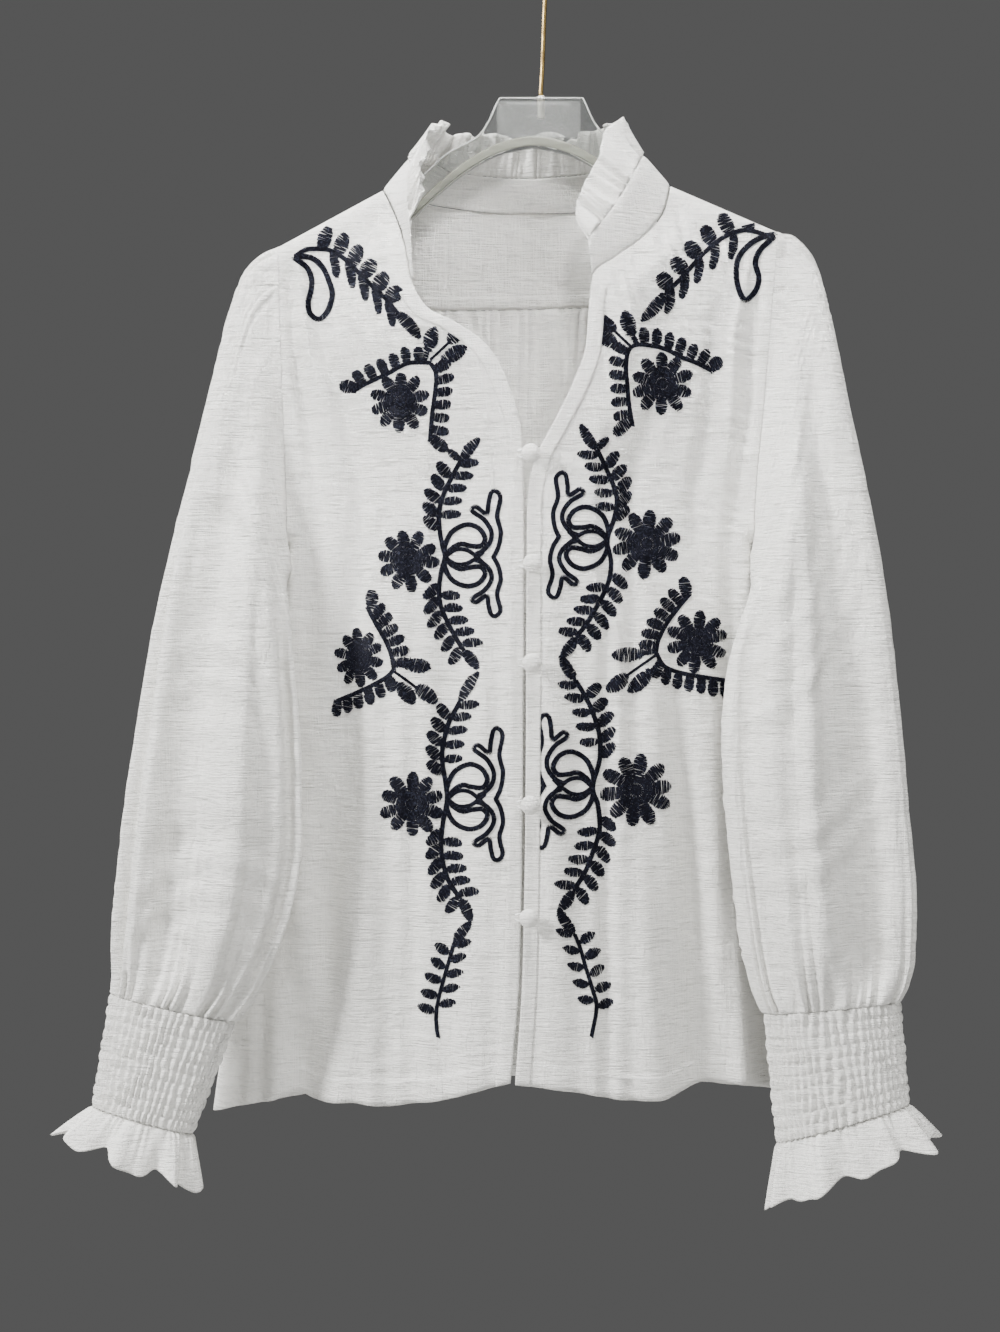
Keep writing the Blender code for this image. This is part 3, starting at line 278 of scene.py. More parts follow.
def piece(name, verts, faces, finish, node=None, tidy=True):
    """One mesh piece in metres from points in millimetres, riding on the blouse."""
    mesh = bpy.data.meshes.new(name)
    mesh.from_pydata((np.asarray(verts) * MM).tolist(), [], faces)
    if tidy:
        bm = bmesh.new()
        bm.from_mesh(mesh)
        bmesh.ops.recalc_face_normals(bm, faces=bm.faces)
        bm.to_mesh(mesh)
        bm.free()
    mesh.materials.append(finish)
    mesh.shade_smooth()
    obj = bpy.data.objects.new(name, mesh)
    bpy.context.scene.collection.objects.link(obj)
    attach(obj, "root")
    if node:
        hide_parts(*([node] if isinstance(node, str) else node))
    return obj


def shell(name, outer, finish, outward, thickness=CLOTH, closed=False, node=None):
    """A thin closed cloth shell under a grid of outer points, rows down, columns across.

    outward is a point's row, column and the direction that its face looks in.
    """
    outer = np.asarray(outer, float)
    normals = grid_normals(outer, closed)
    row, column, way = outward
    if normals[row, column] @ np.array(way, float) < 0:
        normals = -normals
    inner = outer - normals * thickness
    rows, columns = outer.shape[:2]
    index = np.arange(2 * rows * columns).reshape(2, rows, columns)
    if closed:
        index = np.concatenate([index, index[:, :, :1]], axis=2)

    def quads(a, b):
        return np.stack([a[..., :-1], b[..., :-1], b[..., 1:], a[..., 1:]], -1).reshape(-1, 4)

    faces = [quads(index[0, :-1], index[0, 1:]), quads(index[1, 1:], index[1, :-1]),
             quads(index[1, 0], index[0, 0]), quads(index[0, -1], index[1, -1])]
    if not closed:
        faces += [quads(index[0, :, 0], index[1, :, 0]), quads(index[1, :, -1], index[0, :, -1])]
    verts = np.concatenate([outer.reshape(-1, 3), inner.reshape(-1, 3)])
    return piece(name, verts, np.concatenate(faces).tolist(), finish, node or name)


class Side:
    """One half of the blouse: its tables and its sign along X."""

    def __init__(self, name, sign, inner, side, sleeve, cuff, hem, folds, sleeve_folds, creases):
        self.name, self.sign, self.inner, self.side = name, sign, inner, side
        self.sleeve = [(k,) + row for k, row in enumerate(sleeve)]
        self.cuff, self.hem, self.folds, self.sleeve_folds = cuff, hem, folds, sleeve_folds
        self.creases = creases
        self.neck = np.array((inner[0][1], inner[0][3]), float)
        self.tip = np.array((side[0][1], side[0][3]), float)
        self.underarm = np.array([smooth(side, UNDERARM_T, c) for c in (1, 3)])

    def shoulder_distance(self, x, z):
        along = (self.tip - self.neck) / np.linalg.norm(self.tip - self.neck)
        return abs(along[0] * (z - self.neck[1]) - along[1] * (x - self.neck[0]))

    def side_distance(self, t, x, z):
        corner = np.hypot(x - self.underarm[0], z - self.underarm[1])
        return np.where(t >= UNDERARM_T, abs(smooth(self.side, t, 1) - x), corner)

    def fold_height(self, f, t):
        height = 0.0
        for top, foot, start, full, half, out in self.folds:
            rise = ease((t - start) / (full - start))
            height = height + out * rise * bell(f, top + (foot - top) * t, half)
        return height

    def soft_creases(self, x, z, f, t):
        """Small hanging folds: under the collar seam, at the armhole and above the hem."""
        seam = np.array([(smooth(self.inner, s, 1), smooth(self.inner, s, 3))
                         for s in np.linspace(0.0, COLLAR_END_T[self.name], 24)])
        reach = np.min(np.hypot(x[..., None] - seam[:, 0], z[..., None] - seam[:, 1]), axis=-1)
        height = 1.9 * ripple(x + 0.25 * z, 11.0, self.sign) * np.exp(-reach / 42.0)
        height = height + 1.6 * ripple(x, 26.0, 2 + self.sign, 0.25) * ease((t - 0.2) / 0.5)
        wide = ripple(x + 0.12 * z, 43.0, 5 + self.sign, 0.3)
        height = height + 2.6 * wide * ease((t - 0.4) / 0.5)
        height = height + 0.7 * ripple(z + 0.3 * x, 17.0, 3.3, 0.5) * ripple(x, 31.0, 1.2, 0.4)
        for fc, tc, df, dt, lean, out in self.creases:
            height = height + out * bell(f + lean * (t - tc), fc, df) * bell(t, tc, dt)
        return height * ease(f / 0.10) * (1 - 0.6 * ease((f - 0.9) / 0.1))

    def front(self, f, t):
        """Points on the front's outer face: f across from the opening, t down."""
        f, t = np.broadcast_arrays(np.asarray(f, float), np.asarray(t, float))
        xi, di, zi = (smooth(self.inner, t, c) for c in (1, 2, 3))
        xs, ys, zs = (smooth(self.side, t, c) for c in (1, 2, 3))
        x = xi + (xs - xi) * f
        z = zi + (zs - zi) * f
        depth = di + (SIDE_DEPTH - di) * ease(f) + self.fold_height(f, t)
        near = np.minimum(self.shoulder_distance(x, z), self.side_distance(t, x, z))
        depth = depth + self.soft_creases(x, z, f, t) * ease(near / 30.0)
        depth = depth + HEM_STEP * ease((t - HEM_T) / 0.003)
        y = ys * f * f - depth * rounding(near) - SEAM / 2
        z = z + smooth(self.hem, f, 1) * ease((t - HEM_RISE_T) / (1 - HEM_RISE_T))
        return np.stack([x, y, z], -1)

    def width(self, t):
        return abs(smooth(self.side, t, 1) - smooth(self.inner, t, 1))

    def back_edge(self, t):
        t = np.asarray(t, float)
        xs, ys, zs = (smooth(self.side, t, c) for c in (1, 2, 3))
        near = np.minimum(self.shoulder_distance(xs, zs), self.side_distance(t, xs, zs))
        return np.stack([xs, ys + SIDE_DEPTH * rounding(near) + SEAM / 2, zs], -1)


COLLAR_END_T = {"right": 0.15, "left": 0.20}
# Single creases of the fronts: share across, share down, half widths both ways, how much
# they lean, height in mm
RIGHT_CREASES = (
    (0.90, 0.26, 0.035, 0.20, 0.15, -5.0), (0.80, 0.22, 0.030, 0.16, 0.25, 3.6),
    (0.71, 0.28, 0.040, 0.20, 0.20, -2.8), (0.92, 0.52, 0.05, 0.12, 0.80, -4.0),
    (0.74, 0.60, 0.07, 0.16, 0.40, 2.4), (0.30, 0.62, 0.10, 0.12, 0.20, -1.3),
    (0.42, 0.97, 0.06, 0.10, 0.10, -2.2), (0.58, 0.95, 0.05, 0.12, 0.05, 2.0),
)
LEFT_CREASES = (
    (0.91, 0.30, 0.035, 0.18, -0.10, -4.6), (0.81, 0.24, 0.030, 0.16, -0.20, 3.4),
    (0.70, 0.32, 0.045, 0.20, -0.20, -2.8), (0.90, 0.55, 0.05, 0.14, 0.70, -4.0),
    (0.70, 0.66, 0.07, 0.16, 0.30, 2.2), (0.34, 0.70, 0.10, 0.12, 0.20, -1.2),
    (0.56, 0.97, 0.05, 0.10, 0.10, -2.4), (0.36, 0.95, 0.06, 0.12, 0.05, 1.6),
)
RIGHT = Side("right", -1, RIGHT_INNER, RIGHT_SIDE, RIGHT_SLEEVE, RIGHT_CUFF,
             RIGHT_HEM, RIGHT_FOLDS, RIGHT_SLEEVE_FOLDS, RIGHT_CREASES)
LEFT = Side("left", 1, LEFT_INNER, LEFT_SIDE, LEFT_SLEEVE, LEFT_CUFF,
            LEFT_HEM, LEFT_FOLDS, LEFT_SLEEVE_FOLDS, LEFT_CREASES)


def fine_rows(start, end, count, more=()):
    """Shares down the body, closer together where the cloth turns over a seam."""
    even = np.linspace(start, end, count)
    extra = [t for t in ARMHOLE_T if start < t < end] + [0.002, 0.010, 0.024, 0.045, *more]
    extra = [t for t in extra if start < t < end]
    return np.unique(np.round(np.concatenate([even, extra]), 5))


def rounded_edge(count=9):
    """Distances from a folded edge out to where the cloth is flat."""
    return RIDGE_ROUND * (1 - np.cos(np.linspace(0, math.pi / 2, count)))


def make_front(side, finish):
    t = fine_rows(0.0, 1.0, 215, HEM_ROWS)
    width = side.width(t)[:, None]
    edge = 1 - rounded_edge()[::-1] / width
    inner = np.linspace(0.0, 1.0, 74)[None, :-1] * edge[:, :1]
    f = np.concatenate([inner, edge], axis=1)
    grid = side.front(f, t[:, None])
    return shell(side.name + "_front_panel", grid, finish, (150, 40, (0, -1, 0)),
                 node=side.name + "_front")


def make_placket(side, finish):
    """The turned band on a front's edge, soft at both of its long sides."""
    start = COLLAR_END_T[side.name] + 0.012
    t = fine_rows(start, 1.0, 190)
    across = np.linspace(0.0, 1.0, 9)
    f = across[None, :] * PLACKET_WIDTH / side.width(t)[:, None]
    face = side.front(f, t[:, None])
    normals = grid_normals(face)
    normals *= -np.sign(normals[90, 4, 1])
    rise = 0.25 + 0.35 * crown(9, 6)
    rise = rise * (1 + 0.12 * ripple(t * 600, 9.0, side.sign)[:, None])
    grid = face + normals * (SEAM + rise)[..., None]
    return shell(side.name + "_placket_band", grid, finish, (90, 4, (0, -1, 0)),
                 thickness=0.6, node=side.name + "_placket")


def back_depth(x):
    bow = 1 - np.minimum(abs((x - BACK_MIDDLE) / BACK_HALF), 1.0) ** 2
    return SIDE_DEPTH + (BACK_DEPTH - SIDE_DEPTH) * bow


def back_top(x):
    """The back's top edge at x: the two shoulder seams and the neck seam between."""
    y = smooth(BACK_NECK, x, 1) + SEAM / 2
    z = smooth(BACK_NECK, x, 2)
    for side in (RIGHT, LEFT):
        beyond = side.sign * (x - side.neck[0]) >= 0
        share = (x - side.neck[0]) / (side.tip[0] - side.neck[0])
        z = np.where(beyond, side.neck[1] + share * (side.tip[1] - side.neck[1]), z)
        y = np.where(beyond, SEAM / 2, y)
    return y, z


def back(share, t):
    """Points on the back's outer face: share across from the right side, t down."""
    share, t = np.broadcast_arrays(np.asarray(share, float), np.asarray(t, float))
    right, left = ([smooth(s.side, t, c) for c in (1, 2, 3)] for s in (RIGHT, LEFT))
    x = right[0] * (1 - share) + left[0] * share
    side_z = right[2] * (1 - share) + left[2] * share
    top_x = RIGHT.tip[0] * (1 - share) + LEFT.tip[0] * share
    top_y, top_z = back_top(top_x)
    rise = top_z - (RIGHT.tip[1] * (1 - share) + LEFT.tip[1] * share)
    z = side_z + rise * ease(1 - t / YOKE_T)
    z = z + ease((t - 0.8) / 0.2) * HEM_LIFT * np.sin(math.pi * share)
    sag = (1 - share) ** 2 * right[1] + share ** 2 * left[1]
    near = np.minimum(RIGHT.side_distance(t, x, side_z), LEFT.side_distance(t, x, side_z))
    into_neck = np.minimum(top_x - RIGHT.neck[0], LEFT.neck[0] - top_x)
    reach = RIDGE_ROUND + (NECK_BLEND - RIDGE_ROUND) * ease(into_neck / NECK_CORNER)
    y = back_depth(x) * rounding(near)
    y = top_y + (y - top_y) * rounding((top_z - z) * SHOULDER_SLANT, reach)
    return np.stack([x, sag + y + SEAM / 2, z], -1), near


def back_shares(count):
    width = LEFT.tip[0] - RIGHT.tip[0]
    edge = rounded_edge() / width
    middle = np.linspace(edge[-1], 1 - edge[-1], count)
    return np.concatenate([edge[:-1], middle, 1 - edge[:-1][::-1]])


def seam_facing_grid(shares):
    """The turned seam allowance on the inside of the yoke, just above the yoke seam."""
    t = np.linspace(YOKE_T - FACING_T, YOKE_T - 0.0015, 6)
    grid, _ = back(shares[6:-6], t[:, None])
    bulge = 0.35 * crown(6)[:, None]
    loose = np.linspace(1.1, 0.0, 6)[:, None]
    grid[..., 1] -= CLOTH + 0.75 + bulge + loose * (1 + 0.6 * ripple(grid[..., 0], 9.0, 0.3))
    return grid


def make_back(finish):
    """The yoke over the shoulders, and the gathered back that hangs from it."""
    shares = back_shares(190)
    yoke_t = fine_rows(0.0, YOKE_T, 22)
    yoke, _ = back(shares, yoke_t[:, None])
    yoke[:, 0], yoke[:, -1] = RIGHT.back_edge(yoke_t), LEFT.back_edge(yoke_t)
    yoke_piece = shell("yoke_panel", yoke, finish, (14, 90, (0, 1, 0)), node="back_yoke")
    t = fine_rows(YOKE_T, 1.0, 104, HEM_ROWS)
    body, near = back(shares, t[:, None])
    below = body[0, :, 2] - body[:, :, 2]
    free = ease(near / 30.0)
    x, z = body[..., 0], body[..., 2]
    length = 46.0 + 20.0 * np.sin(x / 17.0 + 1.0) + 12.0 * np.sin(x / 7.3)
    gathers = 3.1 * ripple(x + 0.03 * below, 8.8, 1.7, 0.3) * np.exp(-below / length)
    gathers = gathers * ease(below / 4.0)
    swing = 2.2 * ripple(x + 0.05 * z, 47.0, 0.6, 0.3) + 1.1 * ripple(x, 23.0, 2.2)
    swing = swing * ease((t[:, None] - 0.25) / 0.6)
    long_folds = sum(out * bell(x + lean * (z + 500), at, half)
                     for at, half, lean, out in BACK_FOLDS)
    long_folds = long_folds * ease((t[:, None] - 0.15) / 0.5)
    body[..., 1] += (gathers + (swing + long_folds) * free) * ease(near / 16.0)
    body[..., 1] += HEM_STEP * ease((t[:, None] - HEM_T) / 0.003)
    body[:, 0], body[:, -1] = RIGHT.back_edge(t), LEFT.back_edge(t)
    body[0, :, 2] -= SEAM
    back_piece = shell("back_panel", body, finish, (50, 90, (0, 1, 0)), node="back")
    facing = seam_facing_grid(shares)
    facing_piece = shell("yoke_seam_facing", facing, finish, (2, 90, (0, -1, 0)), thickness=0.4,
                         node="back_yoke")
    return yoke_piece, back_piece, facing_piece


def ring_fold_height(side, along, turn_share):
    height = 0.0
    for centre, begin, end, width, depth in side.sleeve_folds:
        rise = ease((along - begin) / 0.25) * ease((end - along) / 0.18)
        height = height + 1.5 * depth * rise * bell(turn_share, centre, width)
    return height


def sleeve_grid(side, rows=128, columns=208):
    """A set-in sleeve from the armhole to the cuff, gathered at its head and its foot."""
    count = len(ARMHOLE_T) - 1
    last = len(side.sleeve) - 1
    i = np.linspace(0, 2 * count, columns, endpoint=False)
    down = np.interp(np.where(i <= count, i, 2 * count - i), range(count + 1), ARMHOLE_T)
    loop = np.where((i <= count)[:, None], side.front(1.0, down), side.back_edge(down))
    middle = (np.isclose(i, 0) | np.isclose(i, count))
    loop[middle, 1] = 0.0
    loop[:, 0] += side.sign * SEAM
    k = (np.linspace(0, 1, rows) ** 1.15 * last)[:, None]
    upper = np.stack([smooth(side.sleeve, k, c) for c in (1, 2, 3)], -1)
    lower = np.stack([smooth(side.sleeve, k, c) for c in (4, 5, 6)], -1)
    half = smooth(side.sleeve, k, 7)
    turn = math.pi * i / count
    share = (1 - np.cos(turn)) / 2
    out = np.copysign(abs(np.sin(turn)) ** FLATNESS, np.sin(turn))
    height = ring_fold_height(side, k / last, i / count)
    ring = upper + (lower - upper) * share[:, None]
    ring[..., 1] -= out * (half + height)
    blend = smooth(((0, 1), (1, 0.75), (2, 0.4), (3, 0.15), (4, 0)), k, 1)[..., None]
    fall = ((loop[:, 2] - loop[0, 2]) / (side.underarm[1] - loop[0, 2]))[:, None]
    hole_upper, hole_lower = (np.array(side.sleeve[0][c:c + 3], float) for c in (1, 4))
    straight = hole_upper + (hole_lower - hole_upper) * fall
    shaped = upper + (lower - upper) * fall + (loop - straight)
    ring = ring * (1 - blend) + shaped * blend
    return ring, i / count


def make_sleeve(side, finish):
    grid, around = sleeve_grid(side)
    normals = grid_normals(grid, True)
    if normals[60, 40, 1] > 0:
        normals = -normals
    run = lengths(grid[:, 50])[:, None]
    left, girth = run[-1] - run, around * 100
    head = bell(np.minimum(around, 2 - around), 0.0, 0.42)
    seed = side.sign * 1.3
    puffs = ripple(girth, 6.2, seed, 0.6) * (0.65 + 0.35 * np.sin(around * 23)) - 0.6
    puffs = 2.6 * puffs * head * np.exp(-run / 55.0) * ease(run / 5.0)
    gathers = 3.2 * ripple(girth, 7.4, seed + 2) * np.exp(-left / 75.0) * ease(left / 3.0 + 0.35)
    slack = 4.2 * ripple(girth + 3 * np.sin(run / 70.0), 23.0, seed + 1, 0.3)
    slack = slack * ease((run - 60) / 160) * ease(left / 60)
    cross = 1.5 * ripple(run + 26 * np.sin(around * 5.1 + seed), 41.0, seed + 3, 0.45)
    cross = cross * ease((run - 40) / 60) * ease(left / 90) * np.sin(math.pi * around) ** 2
    fine = 0.75 * ripple(run + 40 * around, 13.0, seed + 4, 0.6) * ripple(girth, 17.0, seed)
    fine = fine * ease(run / 40) * ease(left / 30)
    grid = grid + normals * (puffs + gathers + slack + cross + fine)[..., None]
    return shell(side.name + "_sleeve_panel", grid, finish, (60, 40, (0, -1, 0)),
                 closed=True, node=side.name + "_sleeve")


def cuff_corners(side):
    row = side.sleeve[-1]
    feet = [np.array((side.cuff[c][0], CUFF_DEPTH, side.cuff[c][1]), float)
            for c in ("outer", "inner")]
    return [np.array(row[1:4], float), np.array(row[4:7], float)] + feet


def across_axis(outer, inner):
    down = np.cross(inner - outer, (0.0, 1.0, 0.0))
    return unit(down * -np.sign(down[2]))


def flat_ring(outer, inner, half, turn, grow):
    """Points of a flattened ring between two corners, down the front and up the back."""
    middle, reach = (outer + inner) / 2, (outer - inner) / 2
    length = np.linalg.norm(reach, axis=-1, keepdims=True)
    out = np.copysign(abs(np.sin(turn)) ** FLATNESS, np.sin(turn))
    points = middle + reach * (1 + grow[..., None] / length) * np.cos(turn)[..., None]
    points = points + np.zeros(turn.shape + (3,))
    points[..., 1] -= out * (half + grow)
    return points


def make_cuff(side, finish):
    """Ten shirred rows with small uneven puffs between them."""
    top_outer, top_inner, foot_outer, foot_inner = cuff_corners(side)
    axis = across_axis(top_outer, top_inner)
    share = np.linspace(0, 1, 91)[:, None]
    turn = full_turn(216)[None, :]
    part = share[..., None]
    outer = top_outer + (foot_outer - top_outer) * part + axis * SEAM * (1 - part)
    inner = top_inner + (foot_inner - top_inner) * part + axis * SEAM * (1 - part)
    half = side.sleeve[-1][7] + (side.cuff["half"] - side.sleeve[-1][7]) * share
    row = share * SMOCK_ROWS
    number = np.minimum(np.floor(row), SMOCK_ROWS - 1)
    swell = abs(np.sin(math.pi * row)) ** 0.6
    shift = 0.55 * np.sin(number * 2.4 + side.sign) + 0.3 * np.sin(number * 5.1)
    phase = turn * 47 + 1.6 * np.sin(turn * 5 + side.sign) + 0.9 * np.sin(turn * 11 + number * 0.7)
    wave = np.sin(phase + 0.9 * shift + 1.1 * share)
    wave = wave * (0.72 + 0.28 * np.sin(turn * 7 + number * 1.7))
    puff = swell * (0.55 + 1.75 * wave) + 0.95 * np.sin(phase) * (1 - swell)
    grid = flat_ring(outer, inner, half, turn + 0 * share, puff)
    return shell(side.name + "_cuff_band", grid, finish, (45, 54, (0, -1, 0)),
                 thickness=0.8, closed=True, node=side.name + "_cuff")


def make_cuff_ruffle(side, finish):
    _, _, outer, inner = cuff_corners(side)
    axis = across_axis(outer, inner)
    share = np.linspace(0, 1, 26)[:, None]
    turn = full_turn(300)[None, :]
    reach = np.linalg.norm(inner - outer) / 2
    phase = side.cuff["phase"]
    wave = 0.8 * np.sin(CUFF_WAVES * turn + phase + 0.9 * np.sin(2 * turn))
    wave = wave + 0.45 * np.sin((CUFF_WAVES + 5) * turn + 2.3 * phase)
    wave = wave + 0.3 * np.sin(5 * turn - phase)
    slow = np.sin(2 * turn + phase)
    grow = reach * (side.cuff["flare"] - 1) * share ** 0.8
    grow = grow + (5.6 * wave + 2.5 * slow) * share ** 0.9
    grow = grow + 1.2 * ripple(turn * 30, 5.2, phase) * np.exp(-share * 1.9) * ease(share / 0.08)
    down = (side.cuff["ruffle"] * share + SEAM)[..., None] * axis
    grid = flat_ring(outer + down, inner + down, side.cuff["half"] - 1, turn + 0 * share, grow)
    lift = share * (2.2 * wave + 2.4 * np.cos(7 * turn + phase) - RUFFLE_SLANT * np.cos(turn))
    grid = grid + lift[..., None] * axis
    return shell(side.name + "_wrist_ruffle", grid, finish, (2, 75, (0, -1, 0)),
                 thickness=0.7, closed=True, node=side.name + "_cuff_ruffle")


def neck_edge():
    """The neck seam from the right front's end round the back, with shares along it."""
    start, end = COLLAR_BACK
    t_right = np.linspace(COLLAR_END_T["right"], 0.0, 60)[:-1]
    t_left = np.linspace(0.0, COLLAR_END_T["left"], 70)[1:]
    x = np.linspace(RIGHT.neck[0], LEFT.neck[0], 160)
    y, z = back_top(x)
    rear = np.stack([x, y + SEAM / 2, z], -1)
    run = lengths(rear)
    points = np.concatenate([RIGHT.front(0.0, t_right), rear, LEFT.front(0.0, t_left)])
    shares = np.concatenate([start * (1 - t_right / COLLAR_END_T["right"]),
                             start + (end - start) * run / run[-1],
                             end + (1 - end) * t_left / COLLAR_END_T["left"]])
    even = np.linspace(0.0, 1.0, 330)
    return columns_at(even, shares, points), even


def collar_line(column, along):
    return np.stack([smooth(COLLAR, along, column + c) for c in range(3)], -1)


def make_collar(finish):
    """The stand band and the gathered ruffle on its top edge."""
    edge, along = neck_edge()
    top = collar_line(1, along)
    middle = np.array((BACK_MIDDLE, 0.0, 0.0))
    outward = (edge - middle) * (1, 1, 0)
    foot = edge - unit(outward) * 0.7
    up = unit(top - foot)
    foot = foot + up * SEAM
    share = np.linspace(0, 1, 16)[:, None, None]
    band = foot + (top - up * SEAM / 2 - foot) * share
    normals = grid_normals(band)
    normals *= np.sign(normals[8, 165, 1])
    puckers = 0.9 * ripple(along * 520, 8.0, 0.4)[None, :] * np.exp(-share[..., 0] * 3)
    roll = 0.9 * crown(16)[:, None]
    band = band + normals * (puckers * 0.5 + roll)[..., None]
    band_piece = shell("collar_stand", band, finish, (8, 165, (0, 1, 0)), thickness=1.5,
                       node="collar_band")
    waves = COLLAR_WAVES * 28
    fine = np.linspace(0.0, 1.0, waves + 1)
    root = columns_at(fine, along, top + up * SEAM / 2)
    free = collar_line(4, fine)
    out = unit(np.cross(np.gradient(root, axis=0), free - root))
    for _ in range(12):
        out[1:-1] = unit(out[:-2] + out[1:-1] + out[2:])
    height = np.linspace(0, 1, 16)[:, None]
    wave = np.sin(2 * math.pi * COLLAR_WAVES * fine + 1.3 * np.sin(fine * 31))
    wave = wave * (1.0 + 0.35 * np.sin(fine * 23 + 1.0)) + 0.3 * np.sin(fine * 301)
    ends = ease((abs(fine - 0.5) - 0.20) / 0.06)
    small = ripple(fine * 520, 8.4, 1.1, 0.4) * (1.4 + 2.2 * ends)
    push = RUFFLE_WAVE * wave * height ** 0.85 + small * np.exp(-height * 1.5) * ease(height / 0.08)
    ruffle = root + (free - root) * height[..., None] + out * push[..., None]
    lift = 2.0 * np.sin(2 * math.pi * COLLAR_WAVES * fine * 0.43 + 1.0)
    lift = lift + 1.6 * np.sin(fine * 37) + 0.8 * wave
    ruffle = ruffle + unit(free - root) * (lift * height ** 2)[..., None]
    ruffle_piece = shell("collar_frill", ruffle, finish, (1, waves // 2, (0, 1, 0)),
                         thickness=0.7, node="collar_ruffle")
    return band_piece, ruffle_piece


def ring_solid(name, rings, finish, node):
    """A capped solid through a stack of rings with the same number of points."""
    rows, sides = rings.shape[:2]
    index = np.arange(rows * sides).reshape(rows, sides)
    caps = [index[0].tolist(), index[-1].tolist()]
    index = np.concatenate([index, index[:, :1]], axis=1)
    faces = np.stack([index[:-1, :-1], index[:-1, 1:], index[1:, 1:], index[1:, :-1]], -1)
    return piece(name, rings.reshape(-1, 3), faces.reshape(-1, 4).tolist() + caps, finish,
                 node)


def turned(name, profile, sides, at, finish, node, swell):
    """A solid turned about -Y from a profile of radius and height out."""
    profile = np.array(profile, float)
    turn = full_turn(sides)
    radius = profile[:, :1] * (1 + swell(profile[:, 1:], turn))
    rings = np.stack([at[0] + radius * np.cos(turn), at[1] - profile[:, 1:] + 0 * turn,
                      at[2] + radius * np.sin(turn)], -1)
    return ring_solid(name, rings, finish, node)


def tube(name, path, radius, sides, finish, node, twist=0.0):
    """A round tube with capped ends along a path; twist lays cord strands round it."""
    path = np.asarray(path, float)
    along = unit(np.gradient(path, axis=0))
    turn = full_turn(sides)
    side = unit(np.cross(along[0], (0.0, 1.0, 0.0)))
    rings = []
    for i, (point, way) in enumerate(zip(path, along)):
        side = unit(side - way * (side @ way))
        size = radius * (1 + (0.14 * np.sin(3 * turn + i * twist) if twist else 0 * turn))
        rings.append(point + size[:, None] * (np.cos(turn)[:, None] * side
                                              + np.sin(turn)[:, None] * np.cross(way, side)))
    return ring_solid(name, np.array(rings), finish, node)


def curve_through(points, step=1.2, closed=False):
    """Evenly spaced points on a smooth curve through a few given ones."""
    points = [np.array(p, float) for p in points]
    ends = [points[-1]] + points + points[:2] if closed else \
        [2 * points[0] - points[1]] + points + [2 * points[-1] - points[-2]]
    line = []
    for a, b, c, d in zip(ends, ends[1:], ends[2:], ends[3:]):
        for s in np.linspace(0, 1, 12, endpoint=False):
            line.append(0.5 * (2 * b + (c - a) * s + (2 * a - 5 * b + 4 * c - d) * s ** 2
                               + (3 * b - a - 3 * c + d) * s ** 3))
    line.append(points[0] if closed else points[-1])
    line = np.array(line)
    run = lengths(line)
    return columns_at(np.linspace(0, run[-1], max(3, int(run[-1] / step) + 1)), run, line)


def placket_front(z):
    """Depth of the plackets' outer face at a height."""
    shares = np.linspace(0.3, 1.0, 400)
    depths = []
    for side in (RIGHT, LEFT):
        heights = smooth(side.inner, shares, 3)
        near = shares[abs(heights - z) < 2.5]
        face = side.front(np.array((0.0, 0.5, 1.0))[:, None] * PLACKET_WIDTH / side.width(near),
                          near)
        depths.append(face[..., 1].min())
    return min(depths) - 1.3


def make_buttons(finish, cord_finish):
    for number, (x, z) in enumerate(BUTTONS, start=1):
        face = placket_front(z) - SEAM
        profile = [(0.3, 0.0), (2.0, 0.0), (1.9, 1.1), (2.1, 2.1)]
        profile += [(6.3 * math.cos(a), 2.2 + 4.0 * (1 + math.sin(a)))
                    for a in np.linspace(-1.25, 1.5, 20)]

        def cloth_pull(out, turn):
            return 0.035 * np.sin(9 * turn + number) * np.clip(1 - out / 6.0, 0, 1)

        turned("ball_button_%d" % number, profile, 48, (x, face, z), finish,
               "button_%d" % number, cloth_pull)
        reach, depth = 3.1, face + SEAM - 1.0
        arc = [(x + reach * math.cos(a), depth, z + reach * math.sin(a))
               for a in np.linspace(math.pi / 2, -math.pi / 2, 9)]
        path = [(x - 9.0, depth, z + 1.6), (x - 5.0, depth, z + 2.6)] + arc
        path += [(x - 5.0, depth, z - 2.6), (x - 9.0, depth, z - 1.6)]
        tube("thread_loop_%d" % number, curve_through(path, 0.35), 0.62, 9, cord_finish,
             "loop_%d" % number, twist=0.5)


def plate_arch():
    """The arch's edge between the arms, in x and z, from the middle part of its curve."""
    points = [(side.sign * x + ARCH_SHIFT, z) for side in (RIGHT, LEFT) for x, z in PLATE_ARCH[:-1]]
    points = sorted(points + [(ARCH_SHIFT, PLATE_ARCH[-1][1])])
    return [tuple(p) for p in curve_through(points, 2.0)]


